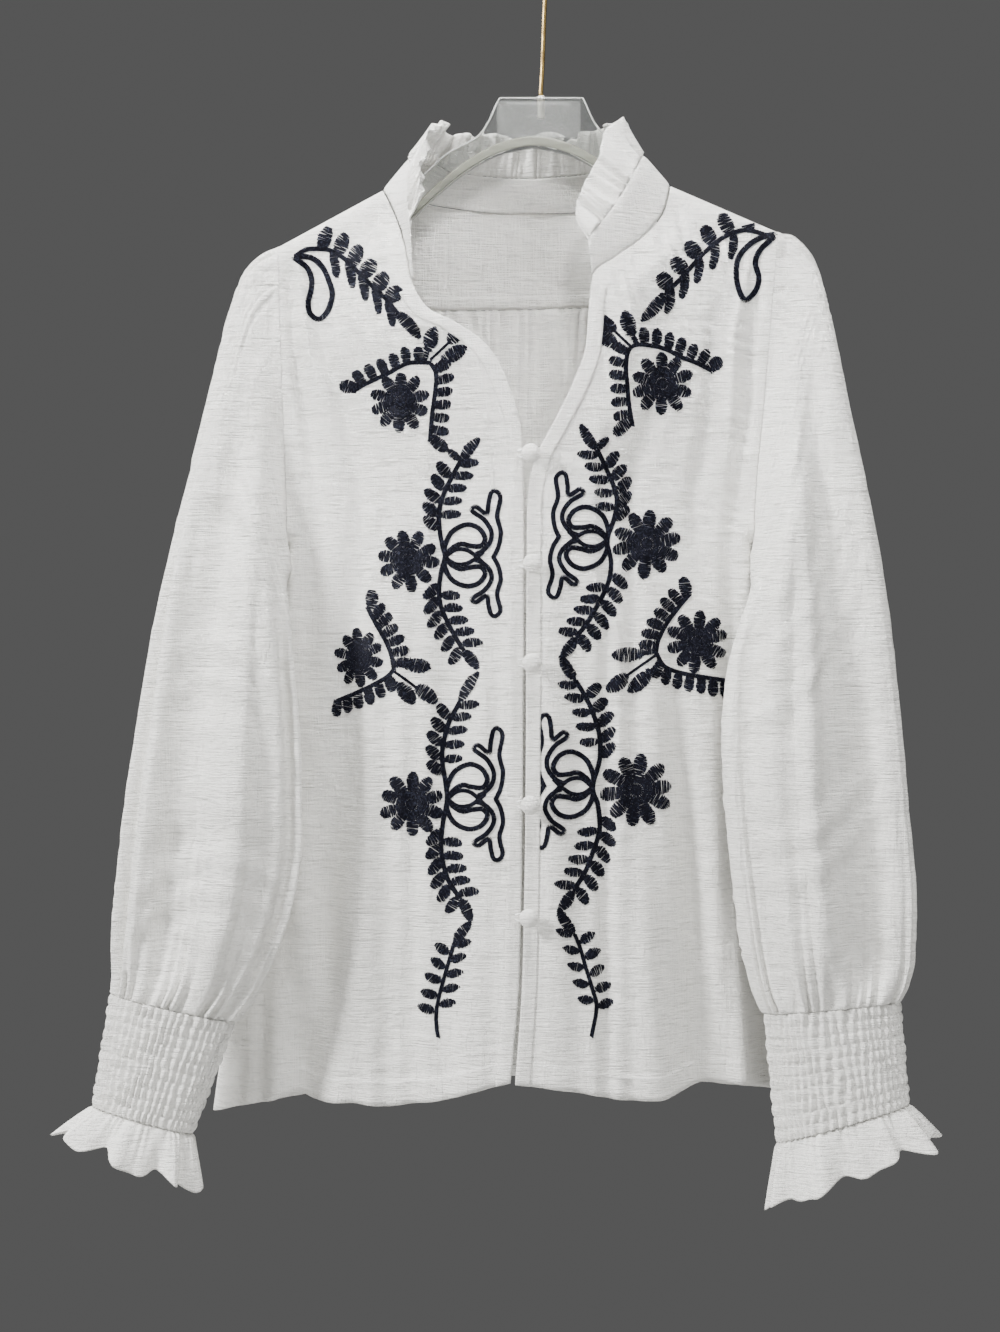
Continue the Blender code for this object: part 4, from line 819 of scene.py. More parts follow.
def plate_outline():
    """The hanger plate's outline in x and z, anticlockwise as seen from the front."""
    halves = []
    for side in (LEFT, RIGHT):
        slope = (side.tip - side.neck) / np.linalg.norm(side.tip - side.neck)
        down = np.array((-slope[1], slope[0])) * side.sign
        down = down * -np.sign(down[1])
        line = [side.neck + slope * (side.sign * x - side.neck[0]) / slope[0] + down * ARM_DROP
                for x in (abs(side.neck[0]) + ARM_START, ARM_END)]
        end = [line[1] + slope * 6 * math.sin(a) + down * ARM_WIDTH * (1 - math.cos(a)) / 2
               for a in np.linspace(0.08 * math.pi, 0.92 * math.pi, 12)]
        rise = curve_through([(side.sign * x, z) for x, z in PLATE_SHOULDER]
                             + [(side.neck[0] * share, z) for share, z in PLATE_SLOPE]
                             + [tuple(line[0])], 4.0)
        arch = curve_through([tuple(line[0] + down * ARM_WIDTH)]
                             + [(side.sign * x + ARCH_SHIFT, z) for x, z in PLATE_ARCH], 4.0)
        half = [(side.sign * PLATE_TOP_HALF, PLATE_TOP_Z)] + [tuple(p) for p in rise]
        half += [tuple(line[1])] + [tuple(p) for p in end] + [tuple(line[1] + down * ARM_WIDTH)]
        halves.append(half + [tuple(p) for p in arch])
    return halves[0] + halves[1][-2::-1]


def plate_haze_and_painted_highlights(pad_finish, painted_edge_finish):
    """The hazy pad in the plate's middle, and pale lines along its slanted edges that are painted
    highlights.
    """
    across = np.linspace(-30.0, 26.5, 8)[None, :] + np.zeros((6, 1))
    down = np.linspace(PLATE_TOP_Z - 3.0, PLATE_TOP_Z - 28.0, 6)[:, None] + np.zeros(8)
    shell("hazy_pad", np.stack([across, -4.9 + 0 * across, down], -1), pad_finish,
          (3, 4, (0, -1, 0)), thickness=0.2, node="hanger_plate")
    lines = []
    for side in (RIGHT, LEFT):
        rise = [(side.sign * x, z) for x, z in ((PLATE_TOP_HALF, PLATE_TOP_Z),) + PLATE_SHOULDER]
        rise += [(side.neck[0] * share, z) for share, z in PLATE_SLOPE]
        lines.append((side.name + "_plate_edge_painted_highlight", 0.55,
                      [(x - side.sign * 0.9, z - 0.9) for x, z in curve_through(rise, 2.0)]))
    top = [(x, PLATE_TOP_Z - 0.8) for x in np.linspace(1 - PLATE_TOP_HALF, PLATE_TOP_HALF - 1, 12)]
    lines.append(("plate_top_edge_painted_highlight", 0.45, top))
    # These pale lines are painted highlights of the slanted polished edges.
    for name, radius, line in lines:
        tube(name, [(x, -4.7, z) for x, z in line], radius, 8, painted_edge_finish, "hanger_plate")


def make_hanger(acrylic, painted_edge_finish, ferrule_finish, brass):
    outline = np.array(plate_outline())
    count = len(outline)
    verts = [(x, y, z) for y in (-4.5, 4.5) for x, z in outline]
    faces = [list(range(count)), list(range(2 * count - 1, count - 1, -1))]
    faces += [[i, i + count, (i + 1) % count + count, (i + 1) % count] for i in range(count)]
    plate = piece("clear_plate", verts, faces, acrylic, "hanger_plate")
    bevel = plate.modifiers.new("polished_edges", "BEVEL")
    bevel.width, bevel.segments = 2.4 * MM, 3
    bevel.limit_method, bevel.angle_limit = "ANGLE", math.radians(50)
    # A grey band on the plate's face along the arch: painted shade and dark reflections of its
    # polished edge.
    line = np.array(sorted(plate_arch()))
    depth = 0.35 * crown(7)[:, None]
    up = np.linspace(0.6, 7.4, 7)[:, None]
    band = np.stack([line[:, 0] + 0 * up, -4.8 - depth + 0 * line[:, 0], line[:, 1] + up], -1)
    shell("arch_edge_painted_shade_band", band, painted_edge_finish, (3, 10, (0, -1, 0)), thickness=0.25,
          node="hanger_plate")
    low, high = PLATE_TOP_Z - FERRULE_LENGTH, PLATE_TOP_Z + ROD_BASE
    radius = FERRULE_RADIUS - 0.1
    rings = [(0.5, low), (radius, low), (radius, high - 0.6), (radius - 0.5, high), (0.5, high)]
    grooves = [(radius * (0.93 if i % 2 else 1.0), z)
               for i, z in enumerate(np.linspace(low + 1, high - 1.2, 14))]
    profile = rings[:2] + grooves + rings[2:]
    rings = np.array([[(r * math.cos(a), r * math.sin(a), z) for a in full_turn(32)]
                      for r, z in profile])
    ring_solid("rod_ferrule", rings, ferrule_finish, "ferrule")
    neck_z = -(2 * HOOK_RADIUS + ROD_RADIUS + 9.0)
    centre_z = -(HOOK_RADIUS + ROD_RADIUS)
    base = PLATE_TOP_Z + ROD_BASE + SEAM
    path = [(0, 0, base), (0, 0, base + 4), (ROD_LEAN * 0.4, 0, -100), (ROD_LEAN, 0, neck_z - 10),
            (ROD_LEAN + 1.5, 0, neck_z + 1)]
    for i in range(HOOK_STEPS + 1):
        angle = math.radians(HOOK_START + HOOK_TURN * i / HOOK_STEPS)
        path.append((HOOK_RADIUS * math.cos(angle), 0, centre_z + HOOK_RADIUS * math.sin(angle)))
    tube("brass_hook", curve_through(path, 1.5), ROD_RADIUS, 20, brass, "hook_rod")


class Stitching:
    """Stitches planned in the front view's plane and laid on a piece of the blouse."""

    def __init__(self, seed):
        self.random = np.random.default_rng(seed)
        self.stitches = []

    def stitch(self, a, b, width=0.80, height=0.50):
        self.stitches.append((a[0], a[1], b[0], b[1], width, height))

    def satin(self, spine, half, spacing=0.64, slant=0.0, width=0.80, height=0.50, rough=0.22):
        """Side-by-side stitches across a spine, whose half width runs with its share."""
        spine = np.asarray(spine, float)
        run = lengths(spine)
        way = unit(np.gradient(spine, axis=0))
        for s in np.arange(spacing * 0.4, run[-1], spacing):
            p, w = columns_at(s, run, spine), unit(columns_at(s, run, way))
            across = np.array((-w[1], w[0])) + w * (slant + self.random.normal(0, 0.05))
            reach = half(s / run[-1])
            if reach < 0.3:
                continue
            jitter = self.random.normal(0, rough, 3)
            shift = w * jitter[2] * 0.5
            self.stitch(p - across * (reach + jitter[0]) + shift,
                        p + across * (reach + jitter[1]) + shift,
                        width * self.random.uniform(0.85, 1.12), height)

    def leaf(self, root, angle, length, width, tip=1.0, **kind):
        """A satin leaf: tip 1 is pointed at both ends, 0.5 is an oval."""
        root = np.array(root, float)
        way = toward(angle)
        bend = np.array((-way[1], way[0])) * length * 0.04
        spine = [root, root + way * length / 2 + bend, root + way * length]
        profile = lambda s: width / 2 * math.sin(math.pi * min(1.0, s) ** 0.9) ** (0.8 * tip)
        self.satin(curve_through(spine, 0.6), profile, slant=self.random.uniform(-0.15, 0.25),
                   **kind)

    def finger(self, root, angle, length, width, **kind):
        """A petal that is wide from its root and round at its tip."""
        root = np.array(root, float)
        way = toward(angle)
        profile = lambda s: width / 2 * min(1.0, 0.72 + 0.5 * s) * math.sqrt(max(0.0, 1 - s ** 5))
        self.satin([root, root + way * length / 2, root + way * length], profile, slant=0.1, **kind)

    def club(self, root, tip, width):
        """A leaf on its own thick stalk, widening to an oval."""
        root, tip = np.array(root, float), np.array(tip, float)
        bend = unit(tip - root)[::-1] * (-1, 1) * 0.8
        stalk = 0.17 * width

        def profile(s):
            size = stalk if s < 0.35 else 0
            if s > 0.28:
                size += width / 2 * math.sin(math.pi * min(1, (s - 0.28) / 0.72)) ** 0.6
            return min(width / 2, max(stalk, size) if s < 0.9 else size)

        self.satin(curve_through([root, (root + tip) / 2 + bend, tip], 0.6), profile, slant=0.12)

    def stalked(self, root, tip, length, width):
        """A thin stalk with an oval at its end."""
        root, tip = np.array(root, float), np.array(tip, float)
        way = unit(tip - root)
        self.cord([root, tip - way * length * 0.9], 1.9)
        self.leaf(tip - way * length, math.degrees(math.atan2(way[1], way[0])), length, width, 0.6)

    def cord(self, points, width=2.0, closed=False, spacing=0.5):
        """A raised cord of short slanted stitches along a smooth line."""
        spine = curve_through(points, 0.5, closed)
        self.satin(spine, lambda s: width / 2, spacing=spacing, slant=0.55, width=0.6,
                   height=0.62, rough=0.07)

    def running(self, spine, stitch=2.0, gap=0.9, width=0.35, height=0.12):
        run = lengths(spine)
        for s in np.arange(0, run[-1] - stitch, stitch + gap):
            self.stitch(columns_at(s, run, spine), columns_at(s + stitch, run, spine), width,
                        height)

    def flower(self, centre, radius, turn, squash=1.0, petals=10):
        """Ten satin petals round a dense heart."""
        centre = np.array(centre, float)
        for k in range(petals):
            angle = math.radians(turn + 360 / petals * k + self.random.uniform(-3, 3))
            way = np.array((math.cos(angle) * squash, math.sin(angle)))
            reach = radius * self.random.uniform(0.95, 1.03)
            width = radius * 0.40 * (0.5 + 0.5 * squash)

            def profile(s):
                return width / 2 * min(1.0, 0.55 + 0.75 * s) * math.sqrt(max(0.0, 1 - s ** 6))

            self.satin([centre + way * radius * 0.22, centre + way * reach], profile,
                       slant=0.08)
        for ring, (near, far, count) in enumerate(((0.0, 0.24, 22), (0.20, 0.40, 34))):
            for k in range(count):
                angle = 2 * math.pi * (k + 0.5 * ring) / count
                way = np.array((math.cos(angle) * squash, math.sin(angle))) * radius
                self.stitch(centre + way * near, centre + way * far * self.random.uniform(0.9, 1.1),
                            1.0, 0.45 + 0.1 * ring)
        for _ in range(int(6 * radius)):
            angle = self.random.uniform(0, 2 * math.pi)
            far = radius * 0.50 * math.sqrt(self.random.uniform(0.0, 1))
            p = centre + np.array((math.cos(angle) * squash, math.sin(angle))) * far
            way = angle + self.random.normal(math.pi / 2, 0.5)
            d = np.array((math.cos(way), math.sin(way))) * self.random.uniform(0.9, 1.7)
            self.stitch(p - d, p + d, 0.7, 0.75)

    def lay(self, name, under, finish, lift=0.18):
        """Drops each stitch on a piece, seen from the front, as a small rounded ridge."""
        mesh = under.data
        verts = [v.co.copy() for v in mesh.vertices]
        tree = BVHTree.FromPolygons(verts, [tuple(p.vertices) for p in mesh.polygons])
        eye = Vector(CAMERA * MM)
        points, faces = [], []
        for ax, az, bx, bz, width, height in self.stitches:
            centre = []
            steps = 2 if math.dist((ax, az), (bx, bz)) < 6.0 else 4
            for s in np.linspace(0.0, 1.0, steps + 1):
                target = Vector(((ax + (bx - ax) * s) * MM, 0.0, (az + (bz - az) * s) * MM))
                hit, normal, _, _ = tree.ray_cast(eye, (target - eye).normalized())
                if hit is None:
                    break
                if normal.y > 0:
                    normal = -normal
                centre.append((np.array(hit) / MM, np.array(normal)))
            if len(centre) <= steps or np.linalg.norm(centre[0][0] - centre[-1][0]) > 25:
                continue
            along = centre[-1][0] - centre[0][0]
            base = len(points)
            for number, (point, normal) in enumerate(centre):
                side = unit(np.cross(along, normal)) * width / 2
                rise = height * (0.6 if number in (0, steps) else 1.0)
                points += [point - side + normal * lift, point + normal * (lift + rise),
                           point + side + normal * lift]
            for row in range(0, 3 * steps, 3):
                for c in (0, 1):
                    a = base + row + c
                    faces.append((a, a + 1, a + 4, a + 3))
        obj = piece(name, points, faces, finish, tidy=False)
        flip = np.zeros(len(obj.data.polygons) * 3)
        obj.data.polygons.foreach_get("normal", flip)
        if flip.reshape(-1, 3)[:, 1].mean() > 0:
            obj.data.flip_normals()
        return obj


# Embroidery, in x and z as the front shows them. A garland is a stem with its leaves: the
# joint its scroll hangs from, and the tip leaves at both ends.
GARLANDS = (
    dict(sign=-1,
         stem=((-54.5, -370), (-61.5, -383), (-67, -395), (-69.5, -406), (-69, -418), (-67, -429),
               (-65.5, -436), (-68, -446), (-69.5, -458.5), (-68, -470), (-62, -483.5),
               (-53, -499)), top=(-41.5, -355), small=(-63.5, -362.5), end=(-43, -512.5),
         joint=(-65.5, -436), lean=0, reach=(1.0, 0.89)),
    dict(sign=1,
         stem=((38, -363), (44, -375.5), (49.5, -388.5), (51.5, -398.5), (49.5, -410),
               (45, -424.5), (47.5, -439.5), (45.5, -453.5), (38.5, -468), (31, -481),
               (23.5, -490.5)), top=(26.5, -345.5), small=(46, -354.5), end=(13.5, -504),
         joint=(45, -424.5), lean=4, reach=(0.97, 0.92)),
    dict(sign=-1,
         stem=((-55, -534), (-60.5, -544), (-64, -552), (-67.5, -570), (-65.5, -587),
               (-64, -600.5), (-67, -617.5), (-68, -635), (-64, -653.5), (-55, -668.5)),
         top=(-42.5, -514), small=None, end=(-47.5, -683.5), joint=(-64, -600.5), lean=0,
         reach=(1.07, 0.92)),
    dict(sign=1,
         stem=((23, -519.5), (29, -529), (34.5, -540.5), (39.5, -557.5), (39.5, -574),
               (35, -592.5), (38.5, -605), (39.5, -621.5), (34.5, -638), (29, -651.5),
               (21.5, -663)), top=(13, -502), small=None, end=(12, -676), joint=(35, -592.5),
         lean=2, reach=(1.07, 0.94)),
)
# Leaves of a garland on the wearer's right: share of the stem for the first and the last,
# how many, direction of the first and the last, length, width, how pointed they are
GARLAND_LEAVES = (
    (0.03, 0.30, 5, 8, 4, 13.5, 6.4, 0.5), (0.10, 0.37, 5, 130, 141, 13.0, 8.2, 0.5),
    (0.64, 0.98, 6, 222, 236, 13.5, 7.8, 0.55), (0.70, 0.97, 5, -6, 8, 13.5, 6.6, 0.5),
)
# Flowers: centre, radius, turn in degrees, width over height
FLOWERS = (
    ((-96, -330.5), 21.0, 88, 1.0), ((82, -318), 21.6, 90, 1.0), ((-90.5, -438), 21.5, 100, 1.0),
    ((72, -427), 23.5, 84, 1.0), ((-124, -504.5), 20.5, 95, 0.80), ((106, -493.5), 21.5, 84, 1.0),
    ((-88, -604), 22.5, 90, 1.0), ((64.5, -594.5), 25.0, 80, 1.0),
)
# Limbs of the arches: the stem from the apex outwards, then its fingers: first and last
# share, how many, direction of the first and the last, length, width; and the end finger
LIMBS = (
    (((-75, -304), (-82.5, -303.5), (-92, -304.5), (-104, -311), (-119, -318), (-127.5, -323)),
     (0.14, 0.86, 6, 94, 124, 11.5, 7.0), ((-125, -321.5), 166, 12.5, 9.5)),
    (((-75, -304), (-71.5, -311.5), (-72, -323), (-74, -337.5), (-75, -349.5), (-75.5, -357)),
     (0.10, 0.84, 6, 24, -14, 12.5, 6.6), ((-75, -354.5), -40, 14.5, 9.0)),
    (((61, -293), (66.5, -291.5), (76, -292.5), (85.5, -295), (95, -300), (105.5, -304),
      (116, -309.5)), (0.16, 0.84, 6, 93, 60, 12.5, 7.0), ((113.5, -308), 34, 11.5, 10.0)),
    (((61, -293), (58.5, -298), (57.5, -308), (58.5, -319), (59.5, -331), (62, -347)),
     (0.08, 0.84, 6, 152, 192, 12.5, 6.8), ((60.5, -343.5), 218, 14.5, 9.0)),
    (((-100, -512.5), (-102, -502), (-106, -492.5), (-112.5, -481), (-118, -470)),
     (0.10, 0.82, 6, 2, 52, 13.0, 7.0), ((-115.5, -471), 86, 13.0, 9.0)),
    (((-100, -512.5), (-105, -517.5), (-115.5, -523.5), (-127.5, -529), (-139.5, -534)),
     (0.14, 0.97, 6, -72, -98, 11.5, 7.0), None),
    (((78, -501), (79.5, -492.5), (85, -481.5), (93, -470.5), (100.5, -461.5)),
     (0.10, 0.82, 6, 174, 128, 13.0, 7.0), ((99, -463), 100, 14.0, 9.0)),
    (((78, -501), (84, -510.5), (96.5, -515), (110, -517.5), (125.5, -520), (134, -521.5)),
     (0.10, 0.97, 8, -108, -84, 12.0, 6.8), None),
)
# Leaves on their own stalks at each arch's apex: root and tip, and whether its stalk is thin
CLUBS = (
    ((-79, -302.5), (-71.5, -279.5), False), ((-75.5, -302), (-50, -278), True),
    ((-73, -307.5), (-50.5, -293), False), ((65, -291.5), (56.5, -268), False),
    ((61, -293), (37.5, -270), True), ((59, -296.5), (37.5, -282), False),
    ((-99.5, -508.5), (-75, -511.5), False), ((-100, -513.5), (-71, -535), True),
    ((-103, -517.5), (-86, -536), False), ((77.5, -500), (47.5, -502.5), False),
    ((78, -502.5), (44, -526.5), True), ((81, -507.5), (58.5, -527.5), False),
)
# Shoulder sprigs: stem, round leaves above, long ones below and the end leaf. Leaves: first
# and last share, how many, direction of the first and the last
SPRIGS = (
    dict(stem=((-168, -232), (-160, -227), (-150.5, -226.5), (-142, -228), (-132, -234.5),
               (-122.5, -244), (-113, -253.5), (-105.5, -260.5), (-98, -269.5)),
         upper=(0.23, 0.90, 6, 70, 52), lower=(0.31, 0.88, 5, -80, -78), end=(-82.5, -287.5)),
    dict(stem=((157.5, -218.5), (141.5, -214), (132, -215), (122.5, -219.5), (112, -228),
               (102.5, -238), (91.5, -250), (84, -256.5)), upper=(0.17, 0.94, 6, 112, 128),
         lower=(0.30, 0.93, 5, -99, -103), end=(68, -275.5)),
)
# The closed drop at each sprig's outer end
DROPS = (
    ((-167.5, -232), (-156.5, -232.5), (-149, -238.5), (-144.5, -247.5), (-142, -257.5),
     (-145, -268.5), (-151, -274), (-157, -270.5), (-158.5, -263), (-156.5, -255), (-156, -247.5),
     (-159, -239.5)),
    ((158.5, -217.5), (149, -219), (140.5, -224.5), (134.5, -232), (132.5, -241.5), (134, -252.5),
     (138.5, -261), (145.5, -255), (148, -246), (145.5, -236), (149, -227)),
)
# One half of the scroll that hangs beside a joint, out towards the opening and up: a closed
# loop, and a band that runs out, forks at its tip and comes back to the middle
SCROLL_LOOP = ((0.5, 1), (0, 7.5), (4.9, 17.2), (14.6, 22.1), (23, 19.7), (27.3, 12.8),
               (24.3, 7.6), (17, 7.8), (10.9, 9), (4.9, 6), (0.6, 0.5))
SCROLL_BAND = ((0.6, 0.5), (7.3, 5.1), (14.6, 4.9), (20.6, 1.2), (26.5, -4.4))
SCROLL_FORK = ((20.6, 2.1), (25.5, 4.2), (30.6, 10), (31.6, 17.2), (27, 25.2), (19.4, 30.8),
               (18.8, 33), (21.6, 34.2), (28.3, 29.6), (29.7, 36.7), (31.4, 43.4), (34.6, 44.9),
               (37.8, 40.3), (35.6, 28.2), (38, 17.2), (36.6, 7.5), (33.4, 0.6), (33.0, -0.4))
# Leaves of the bottom sprigs: as a garland's, with stem and tip leaf
BOTTOM_SPRIGS = (
    dict(sign=-1,
         stem=((-59.5, -699.5), (-62.5, -710), (-66, -722), (-70, -737), (-71.5, -750),
               (-70, -763)), tip=(-47.5, -684)),
    dict(sign=1,
         stem=((22.5, -692), (26.5, -702), (30, -714), (34.5, -729), (37.5, -742), (34, -762.5)),
         tip=(11.5, -675)),
)
BOTTOM_LEAVES = ((0.02, 0.66, 5, 18, 10, 12.0, 6.4, 0.8), (0.10, 0.72, 5, 146, 160, 12.0, 7.0, 0.7))


def share_point(line, share):
    """The point at a share of a line's length."""
    run = lengths(line)
    return columns_at(share * run[-1], run, line)


def leaves_along(work, stem, rows, sign):
    for first, last, count, start, end, length, width, tip in rows:
        for s in np.linspace(0, 1, count):
            angle = start + (end - start) * s
            angle = angle if sign < 0 else 180 - angle
            root = share_point(stem, first + (last - first) * s)
            work.leaf(root + toward(angle) * 1.2, angle + work.random.uniform(-3, 3),
                      length * work.random.uniform(0.95, 1.05), width, tip)


def pointing(a, b):
    return math.degrees(math.atan2(b[1] - a[1], b[0] - a[0]))


def tip_leaf(work, root, tip, width, kind=0.6):
    work.leaf(root, pointing(root, tip), math.dist(root, tip), width, kind)


def sew_garland(work, stem, top, small, end, joint, lean, reach, sign):
    line = curve_through(stem, 0.6)
    work.cord(stem, 3.3)
    leaves_along(work, line, GARLAND_LEAVES, sign)
    tip_leaf(work, stem[0], top, 7.6)
    tip_leaf(work, stem[-1], end, 8.0)
    if small:
        tip_leaf(work, stem[0], small, 5.6)
    turn = math.radians(-sign * lean)
    for half in (1, -1):
        def place(points):
            local = np.array([(-sign * x, half * z * reach[half < 0]) for x, z in points])
            spin = np.array(((math.cos(turn), -math.sin(turn)), (math.sin(turn), math.cos(turn))))
            return local @ spin.T + np.array(joint)
        work.cord(place(SCROLL_LOOP), 3.5)
        work.cord(place(SCROLL_BAND), 2.9)
        work.cord(place(SCROLL_FORK), 3.2)


def sew_limb(work, stem, fingers, last):
    line = curve_through(stem, 0.6)
    work.cord(stem, 3.0)
    first, final, count, start, end, length, width = fingers
    for s in np.linspace(0, 1, count):
        work.finger(share_point(line, first + (final - first) * s), start + (end - start) * s,
                    length * work.random.uniform(0.94, 1.05), width * 1.08)
    if last:
        root, angle, length, width = last
        work.finger(root, angle, length, width)


def sew_sprig(work, stem, upper, lower, end):
    line = curve_through(stem, 0.6)
    work.cord(stem, 3.2)
    for s in np.linspace(0, 1, upper[2]):
        root = share_point(line, upper[0] + (upper[1] - upper[0]) * s)
        work.leaf(root, upper[3] + (upper[4] - upper[3]) * s, 16.2 - 3.2 * s, 9.6 + 1.8 * s, 0.5)
    for s in np.linspace(0, 1, lower[2]):
        root = share_point(line, lower[0] + (lower[1] - lower[0]) * s)
        work.leaf(root, lower[3] + (lower[4] - lower[3]) * s, 18.6, 6.4, 0.4)
    tip_leaf(work, stem[-1], end, 8.8, 0.6)


def embroider(front, side, finish):
    """All the dark thread on one front, on the half of the design that is its own."""
    work = Stitching(11 + side.sign)
    mine = lambda point: (point[0] + 13.0) * side.sign > 0
    for garland in GARLANDS:
        if mine(garland["joint"]):
            sew_garland(work, **garland)
    for centre, radius, turn, squash in FLOWERS:
        if mine(centre):
            work.flower(centre, radius, turn, squash)
    for stem, fingers, last in LIMBS:
        if mine(stem[0]):
            sew_limb(work, stem, fingers, last)
    for root, tip, thin in CLUBS:
        if mine(root):
            if thin:
                work.stalked(root, tip, 18.0, 10.2)
            else:
                work.club(root, tip, 10.4)
    for sprig, drop in zip(SPRIGS, DROPS):
        if mine(drop[0]):
            sew_sprig(work, **sprig)
            work.cord(drop, 3.9, closed=True)
    for sprig in BOTTOM_SPRIGS:
        if sprig["sign"] == side.sign:
            work.cord(sprig["stem"], 2.7)
            leaves_along(work, curve_through(sprig["stem"], 0.6), BOTTOM_LEAVES, side.sign)
            tip_leaf(work, sprig["stem"][0], sprig["tip"], 7.4)
    return work.lay(side.name + "_embroidery", front, finish)


def seen(points):
    """Points of the blouse as the front view's plane shows them, in x and z."""
    points = np.asarray(points, float)
    scale = -CAMERA[1] / (points[..., 1] - CAMERA[1])
    return np.stack([CAMERA[0] + (points[..., 0] - CAMERA[0]) * scale,
                     CAMERA[2] + (points[..., 2] - CAMERA[2]) * scale], -1)


def topstitch(front, side, finish):
    """The rows of white stitches beside the placket and above the hem."""
    work = Stitching(31 + side.sign)
    t = np.linspace(COLLAR_END_T[side.name] + 0.02, 0.995, 240)
    work.running(seen(side.front((PLACKET_WIDTH + 1.6) / side.width(t), t)))
    f = np.linspace(0.07, 0.97, 200)
    work.running(seen(side.front(f, np.full(f.shape, 0.981))), stitch=2.3)
    t = np.linspace(0.004, COLLAR_END_T[side.name] * 0.97, 60)
    work.running(seen(side.front(2.0 / side.width(t), t)), stitch=1.8)
    return work.lay(side.name + "_topstitching", front, finish, lift=0.02)


class Value:
    """A material's number or colour socket, which adds Math nodes when used in a sum."""

    def __init__(self, finish, link):
        self.finish, self.link = finish, link

    def math(self, operation, a, b=0.0, clamp=False):
        return self.finish.add("ShaderNodeMath", dict(operation=operation, use_clamp=clamp), (a, b))

    def __add__(self, other):
        return self.math("ADD", self, other)

    def __mul__(self, other):
        return self.math("MULTIPLY", self, other)

    __radd__, __rmul__ = __add__, __mul__

    def clamped(self):
        return self.math("ADD", self, 0.0, clamp=True)


class Finish:
    """One material, its shader's own constants, and the one method that adds its nodes."""

    def __init__(self, name, **constants):
        self.material = bpy.data.materials.new(name)
        self.material.use_nodes = True
        self.nodes = self.material.node_tree.nodes
        self.links = self.material.node_tree.links
        self.shader = self.nodes["Principled BSDF"]
        for socket, value in constants.items():
            self.shader.inputs[socket.replace("_", " ")].default_value = value
        colour = constants.get("Base_Color")
        if colour:
            self.material.diffuse_color = colour

    def add(self, kind, settings, inputs=(), output=0):
        node = self.nodes.new(kind)
        for key, value in settings.items():
            setattr(node, key, value)
        pairs = inputs.items() if isinstance(inputs, dict) else enumerate(inputs)
        for key, value in pairs:
            if isinstance(value, Value):
                self.links.new(value.link, node.inputs[key])
            else:
                node.inputs[key].default_value = value
        return Value(self, node.outputs[output])

    def noise(self, stretch, turn=(0.0, 0.0, 0.0), detail=2.0, rough=0.5, distort=0.0):
        """Noise over the object's own coordinates in metres, turned and stretched."""
        at = self.add("ShaderNodeTexCoord", {}, (), "Object")
        at = self.add("ShaderNodeMapping", {}, {"Vector": at, "Rotation": turn, "Scale": stretch})
        return self.add("ShaderNodeTexNoise", {}, {"Vector": at, "Scale": 1.0, "Detail": detail,
                                                   "Roughness": rough, "Distortion": distort},
                                                   "Fac")

    def ramp(self, value, low, high):
        """0 below low and 1 above high, eased between."""
        return self.add("ShaderNodeMapRange", dict(interpolation_type="SMOOTHSTEP"),
                        {"Value": value, "From Min": low, "From Max": high}, "Result")

    def mix(self, amount, a, b):
        """Mix of two colours; the colour sockets are the mix node's last pair."""
        return self.add("ShaderNodeMix", dict(data_type="RGBA"), {0: amount, 6: a, 7: b}, 2)

    def bump(self, height, distance, strength=1.0, under=None):
        inputs = {"Height": height, "Distance": distance, "Strength": strength}
        if under is not None:
            inputs["Normal"] = under
        return self.add("ShaderNodeBump", {}, inputs)

    def feed(self, **sockets):
        for socket, value in sockets.items():
            self.links.new(value.link, self.shader.inputs[socket.replace("_", " ")])
        return self.material


def crepe(name, lean=0.0, crinkle=1.0):
    """White slubbed crepe: thick weft yarns, a fine weave and small hanging crinkles."""
    finish = Finish(name, Base_Color=(0.87, 0.86, 0.825, 1), Roughness=0.82, Sheen_Weight=0.18,
                    Sheen_Roughness=0.45, Specular_IOR_Level=0.22)
    turn = (0.0, lean, 0.0)
    slub = finish.noise((75, 75, 980), turn, 3.0, 0.62)
    long_slub = finish.noise((34, 34, 520), turn, 2.0, 0.5)
    weave = finish.noise((2600, 2600, 2600), turn, 1.0, 0.5)
    warp = finish.noise((900, 900, 26), turn, 2.0, 0.5)
    crease = finish.noise((118, 118, 34), turn, 3.0, 0.55, 0.6)
    wave = finish.noise((26, 26, 70), turn, 2.0, 0.5, 0.8)
    yarn = finish.ramp(slub, 0.50, 0.74)
    thick = finish.ramp(long_slub, 0.56, 0.72)
    tone = (yarn * 0.60 + thick * 0.40 + weave * 0.15).clamped()
    colour = finish.mix(tone, (0.945, 0.932, 0.885, 1), (0.68, 0.672, 0.635, 1))
    rough = 0.74 + slub * 0.18
    soft = finish.bump(crease * 0.7 + wave * 0.9, 0.0046 * crinkle, 0.75)
    threads = finish.bump(slub * 0.7 + long_slub * 0.35 + warp * 0.25 + weave * 0.12, 0.0027, 1.0,
                          soft)
    return finish.feed(Base_Color=colour, Roughness=rough, Normal=threads)


def navy_thread():
    """Near-black navy silk thread, with lighter flecks painted into its colour as glints of its
    strands.
    """
    finish = Finish("navy_thread", Base_Color=(0.012, 0.014, 0.028, 1), Roughness=0.5,
                    Specular_IOR_Level=0.12)
    strand_and_glint = finish.noise((900, 900, 900), (0, 0, 0), 2.0, 0.6)
    # The lighter flecks of this mix are painted highlights: glints of the strands, not a colour of
    # the thread.
    colour = finish.mix(finish.ramp(strand_and_glint, 0.50, 0.70),
                        (0.002, 0.002, 0.006, 1), (0.032, 0.036, 0.058, 1))
    return finish.feed(Base_Color=colour, Roughness=0.52 + strand_and_glint * 0.2,
                       Normal=finish.bump(strand_and_glint, 0.00012, 0.5))


